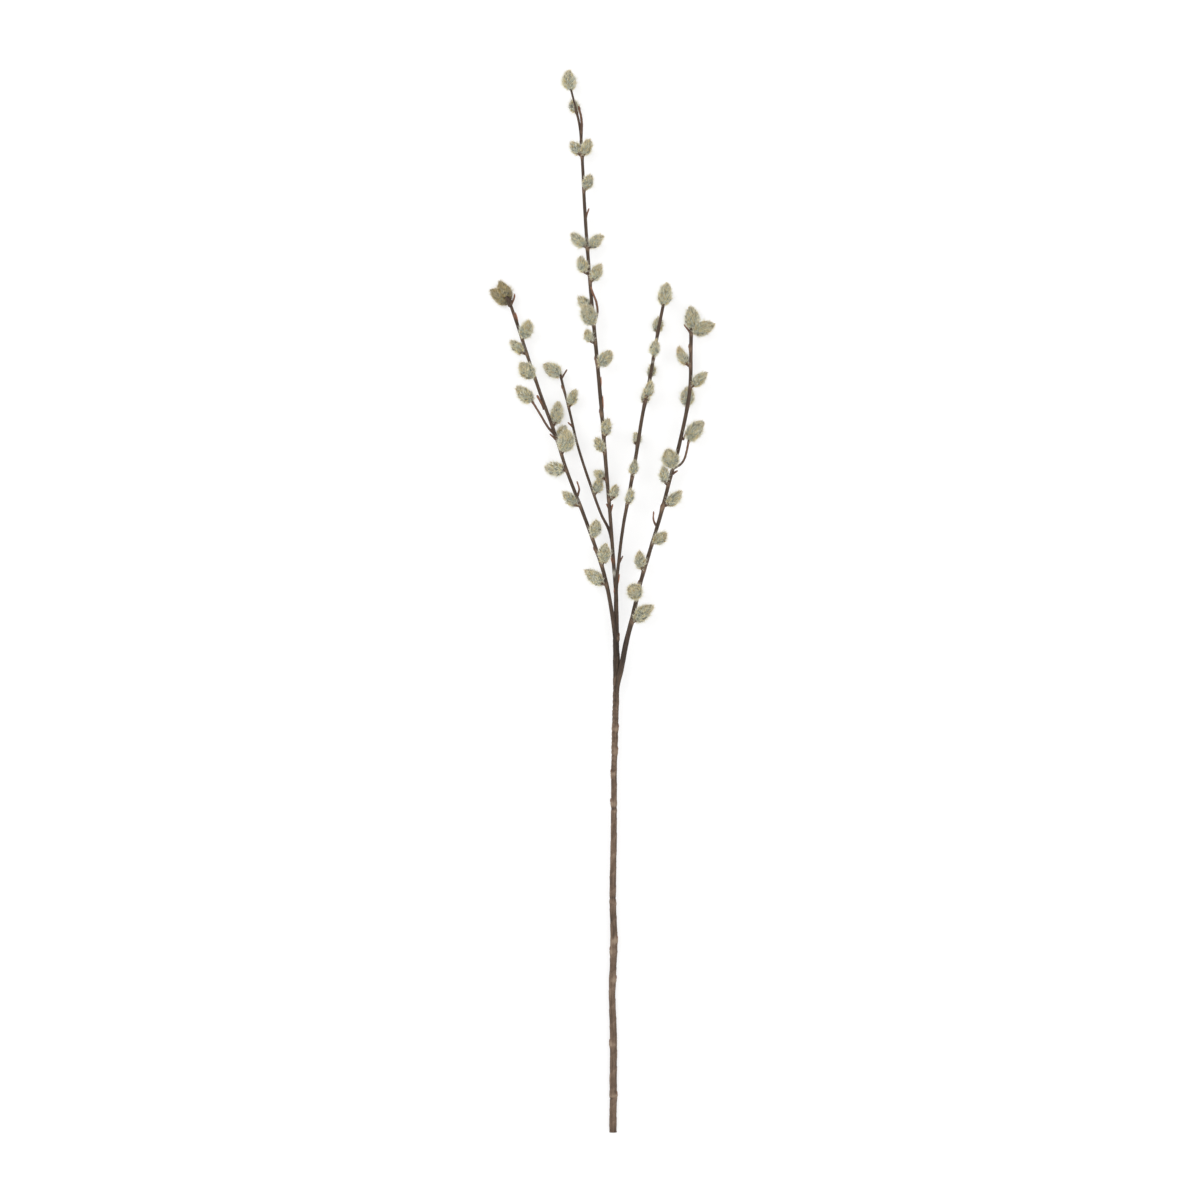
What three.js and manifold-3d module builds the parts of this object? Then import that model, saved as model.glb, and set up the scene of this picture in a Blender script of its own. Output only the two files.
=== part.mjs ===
// Pussy willow twig: one cut stem that forks into five long branches carrying furry catkins.
//
// It lies on its side on the ground (z = 0). +Y runs from the cut end to the highest tip, +X is to
// the right when looking down on it, and +Z is up. Sizes are in millimetres.
import * as THREE from 'three';
import { mergeVertices } from 'three/addons/utils/BufferGeometryUtils.js';
import Module from 'manifold-3d';

const wasm = await Module();
wasm.setup();

// ---------------------------------------------------------------- driving dimensions
const CLEARANCE = 0.3; // gap between a catkin, or a branch root, and the wood beside it
const TUBE_SIDES = 8;
const TUBE_STEP = 22; // length of one straight facet of a branch
const SPUR_SIDES = 6;
const SPUR_STEP = 5;
const CATKIN_SIDES = 8;
const CATKIN_RINGS = 6;
const CATKIN_BELLY = 0.8; // exponent that puts the widest place at 0.42 of the length
const CATKIN_FULLNESS = 0.8; // exponent below 1 that rounds the ends
const NUB_RADIUS = 1.1; // woody nub under each catkin
const NUB_LENGTH = 1; // shortest nub, measured from the bark
const BUD_RADIUS = 1.1; // resting bud that lies against the bark

// A route is a list of [x, y, z, radius] from the root to the tip of a branch.
const STEM_ROUTE = [
  [0, 0, 3.1, 3.1],
  [0.2, 86, 4.5, 3.0],
  [-0.8, 114, 5, 2.8],
  [0.7, 161, 5.8, 3.0],
  [-0.2, 197, 6.4, 2.8],
  [0.6, 250, 7.3, 2.6],
  [0.9, 306, 8.2, 2.4],
  [2, 352, 8.9, 2.7],
  [2.4, 368, 9.2, 2.6],
  [3, 385, 9.5, 2.8],
  [2.8, 401, 9.8, 3.0],
  [2.6, 413, 10, 2.55],
  [2.7, 430, 10.3, 2.3],
  [2.6, 444, 10.6, 1.9],
  [2.4, 458, 11, 1.7],
  [0.6, 480, 11.4, 1.6],
  [-1.4, 509, 12, 1.5],
  [-5.6, 560, 12.8, 1.6],
  [-9.5, 609, 13.4, 1.65],
  [-15, 670, 13.6, 1.6],
  [-19.6, 721, 13.4, 1.45],
  [-23.4, 773, 13, 1.45],
  [-26.2, 826, 12.4, 1.3],
  [-28, 850, 11.5, 1.1],
  [-32.4, 870, 11.1, 0.9],
  [-35.4, 882, 10.9, 0.9],
];

const LEFT_OUTER_ROUTE = [
  [1.5, 418, 14.2, 1.5],
  [0.3, 431, 14.2, 1.75],
  [-1.4, 443, 14.2, 1.75],
  [-6.8, 470, 14, 1.6],
  [-16.1, 499, 14, 1.55],
  [-25.6, 525, 14.2, 1.5],
  [-39, 560, 14.4, 1.4],
  [-49.4, 592, 14.2, 1.4],
  [-60.3, 622, 13, 1.4],
  [-70.9, 653, 10.6, 1.4],
  [-80.9, 684, 7.8, 1.4],
  [-86.9, 701.2, 6.7, 1.3],
];

const LEFT_INNER_ROUTE = [
  [-0.6, 496, 8.4, 1.2],
  [-3.4, 510, 8.4, 1.25],
  [-9.8, 523, 9, 1.15],
  [-21.4, 555, 9.6, 1.15],
  [-30, 582, 9.2, 1.1],
  [-36.4, 609, 8, 1.1],
  [-44.5, 641, 6, 1.1],
];

const RIGHT_INNER_ROUTE = [
  [3, 461, 14.7, 1.3],
  [3.4, 469, 14.8, 1.35],
  [4.8, 483, 14.4, 1.35],
  [8.4, 512, 14, 1.4],
  [14.4, 545, 13.8, 1.5],
  [19.4, 573, 13.6, 1.55],
  [24.7, 606, 13.4, 1.5],
  [31.7, 641, 13, 1.45],
  [37.3, 674, 12.6, 1.4],
  [42.4, 700, 12.2, 1.35],
];

const RIGHT_OUTER_ROUTE = [
  [4.8, 382, 14.2, 1.7],
  [6.4, 390, 14, 2.2],
  [10.7, 413, 13.6, 2.35],
  [16.4, 436, 13.6, 1.95],
  [22.8, 464, 13.8, 1.7],
  [30.7, 491, 14.2, 1.6],
  [39.7, 521, 14.6, 1.6],
  [47.3, 550, 15, 1.55],
  [54.9, 578, 15.2, 1.65],
  [60.2, 601, 15.2, 1.6],
  [65, 630, 14.4, 1.6],
  [65.8, 663, 11, 1.55],
  [66, 680, 9, 1.5],
];

// Side shoots and bare spurs, each as a short route of its own that starts inside its branch.
const STEM_SPURS = [
  [[-26.9, 838, 12.3, 1.1], [-26.6, 856, 13.4, 1.1], [-28.9, 867.5, 14.6, 0.9]],
  [[-23.4, 772, 13, 0.9], [-22, 777, 13.4, 0.8], [-20.3, 781.5, 13.8, 0.5]],
  [
    [-15.8, 684, 13.8, 1],
    [-13.2, 694, 15, 1.05],
    [-14, 702, 15.4, 1],
    [-16.6, 709, 15, 0.9],
    [-19, 716, 14.2, 0.6],
  ],
  [[-2.6, 524, 12.2, 1], [-0.3, 531.5, 13.2, 0.6]],
  [[-2.8, 527, 12.2, 0.9], [-5.6, 532, 12.4, 0.5]],
];

const LEFT_OUTER_SPURS = [
  [[-86.6, 700, 7.8, 1], [-83.6, 706.5, 8.4, 0.8], [-83.2, 709.5, 8.8, 0.5]],
  [[-58, 612, 13.4, 1], [-60.4, 617, 14.2, 1], [-64, 623.5, 14.8, 0.8]],
  [[-48.2, 586.5, 14.2, 0.9], [-53.2, 591, 14.6, 0.5]],
  [[-30, 539, 14.3, 0.9], [-28.6, 544.5, 15, 0.8], [-30.4, 551, 15.4, 0.5]],
];

const LEFT_OUTER_SHOOT = [
  [-48.9, 590, 14.2, 1.1],
  [-55.4, 597.5, 16, 1],
  [-60.2, 605.5, 16.8, 0.95],
  [-68.2, 618.5, 16.4, 0.9],
];

const LEFT_INNER_SPURS = [
  [[-43.8, 638, 7.3, 0.9], [-39, 645.7, 8, 0.5]],
  [[-33.6, 597, 9.2, 0.9], [-38, 601, 9.4, 0.5]],
];

const RIGHT_INNER_SPURS = [[[4.6, 481, 14.4, 0.9], [8.2, 488, 15, 0.5]]];

const RIGHT_OUTER_SPURS = [
  [[66, 676, 9.4, 1], [60.2, 683.5, 9.8, 0.5]],
  [[59, 586, 15.2, 0.9], [61.6, 592, 16, 0.5]],
  [[50.4, 557.5, 15, 0.9], [54.4, 560, 15.8, 0.5]],
  [[37.4, 512, 14.5, 0.9], [34.2, 518.5, 15, 0.8], [34.3, 525.5, 15.4, 0.5]],
];

const RIGHT_OUTER_SHOOT = [
  [51, 562, 15, 1.1],
  [57.6, 566, 16.6, 1],
  [60.6, 571, 17.4, 0.95],
  [64, 585.5, 18, 0.9],
];

// Resting buds, each by the height of its base along the branch and its roll round it.
const STEM_BUDS = [
  { height: 32, roll: 10 },
  { height: 76, roll: 170 },
  { height: 130, roll: 0 },
  { height: 154, roll: 185 },
  { height: 164, roll: 20 },
  { height: 280, roll: 180 },
  { height: 305, roll: 175 },
  { height: 324, roll: 0 },
  { height: 343, roll: 10 },
  { height: 466, roll: 10 },
  { height: 609, roll: 170 },
  { height: 654, roll: 175 },
];
const LEFT_OUTER_BUDS = [{ height: 493, roll: 170 }];
const LEFT_INNER_BUDS = [{ height: 630, roll: 170 }];
const RIGHT_OUTER_BUDS = [
  { height: 529, roll: 165 },
  { height: 664, roll: 180 },
];

// Catkins, from root to tip of their branch. height is where the nub leaves the branch, along Y.
// roll is the side of the branch, in degrees: 0 right, 90 up, 180 left, 270 down to the ground.
// lean is the angle between catkin and branch. at_end puts it on the end of the branch or shoot.
const STEM_CATKINS = [
  { height: 536.5, roll: 25, lean: 22, length: 13.5, width: 7.8 },
  { height: 553.5, roll: 215, lean: 55, length: 13.5, width: 8.5 },
  { height: 577, roll: 127, lean: 35, length: 15, width: 8.5 },
  { height: 590.5, roll: 58, lean: 16, length: 15, width: 9 },
  { height: 649.5, roll: 35, lean: 50, length: 17, width: 11.5 },
  { height: 669.5, roll: 150, lean: 18, length: 12, width: 8.5 },
  { height: 684.5, roll: 115, lean: 42, length: 21.5, width: 13.5 },
  { height: 698, roll: 205, lean: 42, length: 15, width: 9.5 },
  { height: 721, roll: 35, lean: 36, length: 16.5, width: 10 },
  { height: 728, roll: 145, lean: 10, length: 15, width: 9.5 },
  { height: 749, roll: 15, lean: 54, length: 16, width: 10 },
  { height: 750, roll: 165, lean: 40, length: 16.5, width: 10 },
  { height: 798, roll: 55, lean: 35, length: 15, width: 9.5 },
  { height: 827, roll: 50, lean: 36, length: 16, width: 9.5 },
  { height: 828, roll: 215, lean: 35, length: 14.5, width: 9.5 },
  { height: 864, roll: 262, lean: 32, length: 14, width: 9 },
  { at_end: true, roll: 0, lean: 7, length: 17.8, width: 12 },
];

const LEFT_OUTER_CATKINS = [
  { height: 465, roll: 180, lean: 38, length: 20.5, width: 10.8 },
  { height: 482, roll: 45, lean: 30, length: 18, width: 10.5 },
  { height: 504.5, roll: 55, lean: 45, length: 17.5, width: 10.3 },
  { height: 532, roll: 155, lean: 22, length: 17, width: 9.3 },
  { height: 561.3, roll: 215, lean: 65, length: 20, width: 12 },
  { height: 576, roll: 45, lean: 35, length: 20.5, width: 13.8 },
  { height: 586, roll: 325, lean: 45, length: 15, width: 9.5 },
  { height: 599, roll: 330, lean: 32, length: 21.3, width: 11 },
  { height: 640, roll: 120, lean: 45, length: 18.7, width: 12.8 },
  { height: 660.5, roll: 158, lean: 30, length: 16, width: 9.2 },
  { height: 672.3, roll: 45, lean: 48, length: 17.7, width: 11.5 },
];

const LEFT_OUTER_SHOOT_CATKINS = [{ at_end: true, roll: 180, lean: 15, length: 19, width: 11.8 }];

// Two catkins that share one knob at the end of the left outer branch. rise is how far past the
// knob a catkin starts.
const TWIN_CATKINS = [
  { roll: 180, lean: 37, length: 20.5, width: 11.5, rise: 0 },
  { roll: 118, lean: 19, length: 18, width: 9.8, rise: 3.3 },
];

const LEFT_INNER_CATKINS = [
  { height: 541, roll: 28, lean: 34, length: 14, width: 9 },
  { height: 615.3, roll: 25, lean: 36, length: 15.3, width: 8.8 },
  { at_end: true, roll: 180, lean: 43, length: 18, width: 11.3 },
];

const RIGHT_INNER_CATKINS = [
  { height: 532.5, roll: 82, lean: 12, length: 14, width: 7.8 },
  { height: 557, roll: 90, lean: 12, length: 13.5, width: 8.1 },
  { height: 582.5, roll: 246, lean: 34, length: 13, width: 8 },
  { height: 617, roll: 268, lean: 14, length: 13.5, width: 8 },
  { height: 622, roll: 82, lean: 10, length: 16, width: 8.6 },
  { height: 639.5, roll: 265, lean: 20, length: 13.5, width: 7.5 },
  { height: 657, roll: 92, lean: 12, length: 15, width: 8.8 },
  { height: 677.7, roll: 260, lean: 22, length: 15, width: 9.2 },
  { at_end: true, roll: 180, lean: 1, length: 20.5, width: 12 },
];

const RIGHT_OUTER_CATKINS = [
  { height: 434, roll: 20, lean: 37, length: 21, width: 12 },
  { height: 455, roll: 110, lean: 76, length: 20, width: 13.2 },
  { height: 477, roll: 140, lean: 30, length: 17, width: 9.2 },
  { height: 500.3, roll: 50, lean: 45, length: 15.5, width: 10 },
  { height: 532, roll: 10, lean: 30, length: 18, width: 10 },
  { height: 549.5, roll: 155, lean: 20, length: 15, width: 8.6 },
  { height: 565, roll: 118, lean: 58, length: 20.5, width: 13.8 },
  { height: 616, roll: 262, lean: 26, length: 19, width: 12 },
  { height: 632, roll: 15, lean: 42, length: 17.2, width: 9.7 },
  { height: 650, roll: 185, lean: 26, length: 18.2, width: 8.9 },
  { height: 677, roll: 28, lean: 74, length: 21.5, width: 12 },
  { at_end: true, roll: 180, lean: 2, length: 20.5, width: 12.5 },
];

const RIGHT_OUTER_SHOOT_CATKINS = [{ at_end: true, roll: 0, lean: 24, length: 21.2, width: 13.2 }];

// ---------------------------------------------------------------- materials
const bark = new THREE.MeshStandardMaterial({ color: 0x5f4e42, roughness: 0.8, metalness: 0 });
const fur = new THREE.MeshStandardMaterial({ color: 0xa39e86, roughness: 0.95, metalness: 0 });

// ---------------------------------------------------------------- solids
function asSolid(geometry) {
  geometry.deleteAttribute('normal');
  geometry.deleteAttribute('uv');
  const merged = mergeVertices(geometry, 1e-4);
  const mesh = new wasm.Mesh({
    numProp: 3,
    vertProperties: new Float32Array(merged.attributes.position.array),
    triVerts: new Uint32Array(merged.index.array),
  });
  return new wasm.Manifold(mesh);
}

function asGeometry(solid) {
  const mesh = solid.getMesh();
  const geometry = new THREE.BufferGeometry();
  geometry.setAttribute('position', new THREE.BufferAttribute(mesh.vertProperties, 3));
  geometry.setIndex(new THREE.BufferAttribute(mesh.triVerts, 1));
  return geometry;
}

const curveOf = (route) => new THREE.CatmullRomCurve3(route.map(([x, y, z]) => new THREE.Vector3(x, y, z)));

// Radius of a branch at curve parameter t, in a straight line between the route's radii.
function radiusAt(route, t) {
  const place = THREE.MathUtils.clamp(t, 0, 1) * (route.length - 1);
  const before = Math.min(Math.floor(place), route.length - 2);
  return THREE.MathUtils.lerp(route[before][3], route[before + 1][3], place - before);
}

// A round tube along a route. It is extruded at radius 1, and then each ring of vertices is scaled
// about its own centre on the curve, which gives the taper.
function taperedTube(route, sides, stepLength) {
  const curve = curveOf(route);
  const steps = Math.max(2, Math.round(curve.getLength() / stepLength));
  const corners = Array.from({ length: sides }, (_, i) => (2 * Math.PI * i) / sides);
  const section = new THREE.Shape(corners.map((a) => new THREE.Vector2(Math.cos(a), Math.sin(a))));
  const tube = new THREE.ExtrudeGeometry(section, { steps, extrudePath: curve, bevelEnabled: false });
  const centres = curve.getSpacedPoints(steps);
  const position = tube.attributes.position;
  const vertex = new THREE.Vector3();
  for (let i = 0; i < position.count; i++) {
    vertex.fromBufferAttribute(position, i);
    const away = centres.map((centre) => centre.distanceToSquared(vertex));
    const ring = away.indexOf(Math.min(...away));
    const radius = radiusAt(route, curve.getUtoTmapping(ring / steps));
    vertex.sub(centres[ring]).multiplyScalar(radius).add(centres[ring]);
    position.setXYZ(i, vertex.x, vertex.y, vertex.z);
  }
  return asSolid(tube);
}

// Egg form along +Y from the origin: widest below the middle, drawn to a point at the tip.
function eggRadius(u, width) {
  return (width / 2) * Math.sin(Math.PI * u ** CATKIN_BELLY) ** CATKIN_FULLNESS;
}

function eggGeometry(length, width) {
  const profile = [];
  for (let i = 0; i <= CATKIN_RINGS; i++) {
    const u = (1 - Math.cos((Math.PI * i) / CATKIN_RINGS)) / 2;
    const onAxis = i === 0 || i === CATKIN_RINGS;
    profile.push(new THREE.Vector2(onAxis ? 0 : eggRadius(u, width), u * length));
  }
  return new THREE.LatheGeometry(profile, CATKIN_SIDES);
}

// ---------------------------------------------------------------- places on a branch
// The point, radius and directions of a branch where it passes a height along Y, or at its end.
function placeOn(route, height) {
  const curve = curveOf(route);
  let low = 0;
  let high = 1;
  for (let i = 0; height !== undefined && i < 40; i++) {
    const middle = (low + high) / 2;
    if (curve.getPoint(middle).y < height) low = middle;
    else high = middle;
  }
  const along = curve.getTangent(high);
  const right = new THREE.Vector3().crossVectors(along, new THREE.Vector3(0, 0, 1)).normalize();
  const up = new THREE.Vector3().crossVectors(right, along).normalize();
  return { point: curve.getPoint(high), radius: radiusAt(route, high), along, right, up };
}

// Where a catkin starts and which way it points. On the side of a branch its base stands off far
// enough for the flank, which bulges back towards the bark, to clear it.
function seat(route, catkin) {
  const place = placeOn(route, catkin.at_end ? undefined : catkin.height);
  const roll = THREE.MathUtils.degToRad(catkin.roll);
  const lean = THREE.MathUtils.degToRad(catkin.lean);
  const outward = place.right.clone().multiplyScalar(Math.cos(roll));
  outward.addScaledVector(place.up, Math.sin(roll));
  const axis = place.along.clone().multiplyScalar(Math.cos(lean)).addScaledVector(outward, Math.sin(lean));
  const base = place.point.clone();
  if (catkin.at_end) {
    base.addScaledVector(place.along, CLEARANCE);
  } else {
    const flank = Array.from({ length: 21 }, (_, i) => i / 20).map(
      (u) => eggRadius(u, catkin.width) * Math.cos(lean) - u * catkin.length * Math.sin(lean),
    );
    const standOff = Math.max(NUB_LENGTH, ...flank) + CLEARANCE;
    base.addScaledVector(outward, place.radius + standOff);
  }
  return { ...place, outward, base, axis };
}

const UPRIGHT = new THREE.Vector3(0, 1, 0);

function laidAlong(geometry, base, axis) {
  const turn = new THREE.Quaternion().setFromUnitVectors(UPRIGHT, axis);
  return geometry.applyQuaternion(turn).translate(base.x, base.y, base.z);
}

// The woody nub that reaches from the middle of the branch to the base of a catkin.
function nub(seated) {
  const length = seated.base.distanceTo(seated.point);
  const cone = new THREE.CylinderGeometry(NUB_RADIUS * 0.9, NUB_RADIUS * 1.2, length, SPUR_SIDES);
  cone.translate(0, length / 2, 0);
  const direction = seated.base.clone().sub(seated.point).normalize();
  return asSolid(laidAlong(cone, seated.point, direction));
}

// A resting bud: a small pointed scale that lies against the bark and leans a little outwards.
function restingBud(route, { height, roll }) {
  const place = placeOn(route, height);
  const angle = THREE.MathUtils.degToRad(roll);
  const outward = place.right.clone().multiplyScalar(Math.cos(angle));
  outward.addScaledVector(place.up, Math.sin(angle));
  const base = place.point.clone().addScaledVector(outward, place.radius - BUD_RADIUS / 2);
  const axis = place.along.clone().addScaledVector(outward, 0.2).normalize();
  const cone = new THREE.ConeGeometry(BUD_RADIUS, 4 * BUD_RADIUS, SPUR_SIDES);
  cone.translate(0, BUD_RADIUS, 0);
  return asSolid(laidAlong(cone, base, axis));
}

// The space that a catkin takes, with its clearance all round.
function clearSpace({ length, width }, { base, axis }) {
  const egg = eggGeometry(length + 2 * CLEARANCE, width + 2 * CLEARANCE);
  return asSolid(laidAlong(egg, base.clone().addScaledVector(axis, -CLEARANCE), axis));
}

// ---------------------------------------------------------------- the twig
const twig = new THREE.Group();

function addMesh(name, geometry, material) {
  const mesh = new THREE.Mesh(geometry, material);
  mesh.name = name;
  twig.add(mesh);
}

// A branch with everything woody that has grown from it, and then its catkins as separate pieces.
// carriers are the branch itself and any side shoot, each with the catkins that it carries.
function addBranch(name, { carriers, spurs = [], buds = [], twins }) {
  const [trunk, ...shoots] = carriers;
  let wood = taperedTube(trunk.route, TUBE_SIDES, TUBE_STEP);
  for (const { route } of shoots) wood = wood.add(taperedTube(route, SPUR_SIDES, SPUR_STEP));
  for (const route of spurs) wood = wood.add(taperedTube(route, SPUR_SIDES, SPUR_STEP));
  for (const bud of buds) wood = wood.add(restingBud(trunk.route, bud));
  let count = 0;
  for (const { route, catkins } of carriers) {
    for (const catkin of catkins) {
      const seated = seat(route, catkin);
      if (!catkin.at_end) wood = wood.add(nub(seated));
      wood = wood.subtract(clearSpace(catkin, seated));
      count += 1;
      const egg = laidAlong(eggGeometry(catkin.length, catkin.width), seated.base, seated.axis);
      addMesh(`catkin_${name}_${String(count).padStart(2, '0')}`, egg, fur);
    }
  }
  if (twins) addTwins(name, trunk.route, twins);
  addMesh(name, asGeometry(wood), bark);
}

// Two catkins grown together from one knob, as one body.
function addTwins(name, route, pair) {
  const end = placeOn(route);
  const knobRadius = end.radius * 1.3;
  const knobCentre = end.point.clone().addScaledVector(end.along, knobRadius + CLEARANCE);
  const knob = new THREE.IcosahedronGeometry(knobRadius, 1).translate(...knobCentre.toArray());
  let body = asSolid(knob);
  for (const catkin of pair) {
    const { axis } = seat(route, { ...catkin, at_end: true });
    const base = knobCentre.clone().addScaledVector(end.along, catkin.rise);
    body = body.add(asSolid(laidAlong(eggGeometry(catkin.length, catkin.width), base, axis)));
  }
  addMesh(`catkin_${name}_twins`, asGeometry(body), fur);
}

addBranch('main_stem', {
  carriers: [{ route: STEM_ROUTE, catkins: STEM_CATKINS }],
  spurs: STEM_SPURS,
  buds: STEM_BUDS,
});
addBranch('left_outer_branch', {
  carriers: [
    { route: LEFT_OUTER_ROUTE, catkins: LEFT_OUTER_CATKINS },
    { route: LEFT_OUTER_SHOOT, catkins: LEFT_OUTER_SHOOT_CATKINS },
  ],
  spurs: LEFT_OUTER_SPURS,
  buds: LEFT_OUTER_BUDS,
  twins: TWIN_CATKINS,
});
addBranch('left_inner_branch', {
  carriers: [{ route: LEFT_INNER_ROUTE, catkins: LEFT_INNER_CATKINS }],
  spurs: LEFT_INNER_SPURS,
  buds: LEFT_INNER_BUDS,
});
addBranch('right_inner_branch', {
  carriers: [{ route: RIGHT_INNER_ROUTE, catkins: RIGHT_INNER_CATKINS }],
  spurs: RIGHT_INNER_SPURS,
});
addBranch('right_outer_branch', {
  carriers: [
    { route: RIGHT_OUTER_ROUTE, catkins: RIGHT_OUTER_CATKINS },
    { route: RIGHT_OUTER_SHOOT, catkins: RIGHT_OUTER_SHOOT_CATKINS },
  ],
  spurs: RIGHT_OUTER_SPURS,
  buds: RIGHT_OUTER_BUDS,
});

// The origin is at the middle of the twig's own box, on the ground under it.
const box = new THREE.Box3().setFromObject(twig);
const middle = box.getCenter(new THREE.Vector3());
twig.position.set(-middle.x, -middle.y, -box.min.z);

export default twig;
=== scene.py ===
# %% [markdown]
# # A twig of pussy willow, laid on a pale table
#
# The real twig is a straight brown stem that forks into five long shoots. Furry silver catkins sit
# along the shoots, each on its own small woody nub. The CAD model already holds every piece at its
# place and size, as plain tubes and plain eggs. This script loads that model and grows the real
# surfaces on it: bark with wrinkles, wraps and buds, and catkins with a coat of real hairs.

import bpy
import numpy as np
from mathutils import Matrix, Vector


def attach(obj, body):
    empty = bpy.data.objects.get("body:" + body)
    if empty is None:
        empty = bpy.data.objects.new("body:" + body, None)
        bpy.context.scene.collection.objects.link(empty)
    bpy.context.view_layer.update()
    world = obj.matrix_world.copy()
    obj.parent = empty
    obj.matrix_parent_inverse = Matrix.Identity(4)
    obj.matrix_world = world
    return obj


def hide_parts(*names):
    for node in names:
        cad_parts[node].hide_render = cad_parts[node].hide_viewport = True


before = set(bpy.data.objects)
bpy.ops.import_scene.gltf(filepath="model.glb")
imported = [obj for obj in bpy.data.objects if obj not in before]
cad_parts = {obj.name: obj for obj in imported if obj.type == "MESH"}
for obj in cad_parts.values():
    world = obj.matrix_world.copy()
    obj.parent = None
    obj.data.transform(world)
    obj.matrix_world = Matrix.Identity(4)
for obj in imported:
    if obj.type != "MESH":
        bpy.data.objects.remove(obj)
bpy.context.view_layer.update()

MM = 0.001
print("nodes in the frame:", len(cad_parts))

# %% [markdown]
# ## The routes of the shoots
#
# A shoot could be measured back from its faceted tube, but its spurs and nubs would get in the way.
# The routes are few and short, so they are repeated here as the CAD holds them: points in
# millimetres from the middle of the cut end, each with the radius of the wood at that point.

# %% Routes: x, y, z and radius, in millimetres from the cut end
ROUTES = {
    "main_stem": [
        (0, 0, 3.1, 3.1), (0.2, 86, 4.5, 3.0), (-0.8, 114, 5, 2.8), (0.7, 161, 5.8, 3.0),
        (-0.2, 197, 6.4, 2.8), (0.6, 250, 7.3, 2.6), (0.9, 306, 8.2, 2.4), (2, 352, 8.9, 2.7),
        (2.4, 368, 9.2, 2.6), (3, 385, 9.5, 2.8), (2.8, 401, 9.8, 3.0), (2.6, 413, 10, 2.55),
        (2.7, 430, 10.3, 2.3), (2.6, 444, 10.6, 1.9), (2.4, 458, 11, 1.7), (0.6, 480, 11.4, 1.6),
        (-1.4, 509, 12, 1.5), (-5.6, 560, 12.8, 1.6), (-9.5, 609, 13.4, 1.65),
        (-15, 670, 13.6, 1.6), (-19.6, 721, 13.4, 1.45), (-23.4, 773, 13, 1.45),
        (-26.2, 826, 12.4, 1.3), (-28, 850, 11.5, 1.1), (-32.4, 870, 11.1, 0.9),
        (-35.4, 882, 10.9, 0.9),
    ],
    "left_outer_branch": [
        (1.5, 418, 14.2, 1.5), (0.3, 431, 14.2, 1.75), (-1.4, 443, 14.2, 1.75),
        (-6.8, 470, 14, 1.6), (-16.1, 499, 14, 1.55), (-25.6, 525, 14.2, 1.5),
        (-39, 560, 14.4, 1.4), (-49.4, 592, 14.2, 1.4),
        (-60.3, 622, 13, 1.4), (-70.9, 653, 10.6, 1.4), (-80.9, 684, 7.8, 1.4),
        (-86.9, 701.2, 6.7, 1.3),
    ],
    "left_inner_branch": [
        (-0.6, 496, 8.4, 1.2), (-3.4, 510, 8.4, 1.25), (-9.8, 523, 9, 1.15),
        (-21.4, 555, 9.6, 1.15), (-30, 582, 9.2, 1.1), (-36.4, 609, 8, 1.1),
        (-44.5, 641, 6, 1.1),
    ],
    "right_inner_branch": [
        (3, 461, 14.7, 1.3), (3.4, 469, 14.8, 1.35), (4.8, 483, 14.4, 1.35), (8.4, 512, 14, 1.4),
        (14.4, 545, 13.8, 1.5), (19.4, 573, 13.6, 1.55), (24.7, 606, 13.4, 1.5),
        (31.7, 641, 13, 1.45), (37.3, 674, 12.6, 1.4), (42.4, 700, 12.2, 1.35),
    ],
    "right_outer_branch": [
        (4.8, 382, 14.2, 1.7), (6.4, 390, 14, 2.2), (10.7, 413, 13.6, 2.35), (16.4, 436, 13.6, 1.95),
        (22.8, 464, 13.8, 1.7), (30.7, 491, 14.2, 1.6), (39.7, 521, 14.6, 1.6),
        (47.3, 550, 15, 1.55), (54.9, 578, 15.2, 1.65), (60.2, 601, 15.2, 1.6),
        (65, 630, 14.4, 1.6), (65.8, 663, 11, 1.55), (66, 680, 9, 1.5),
    ],
}

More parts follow.
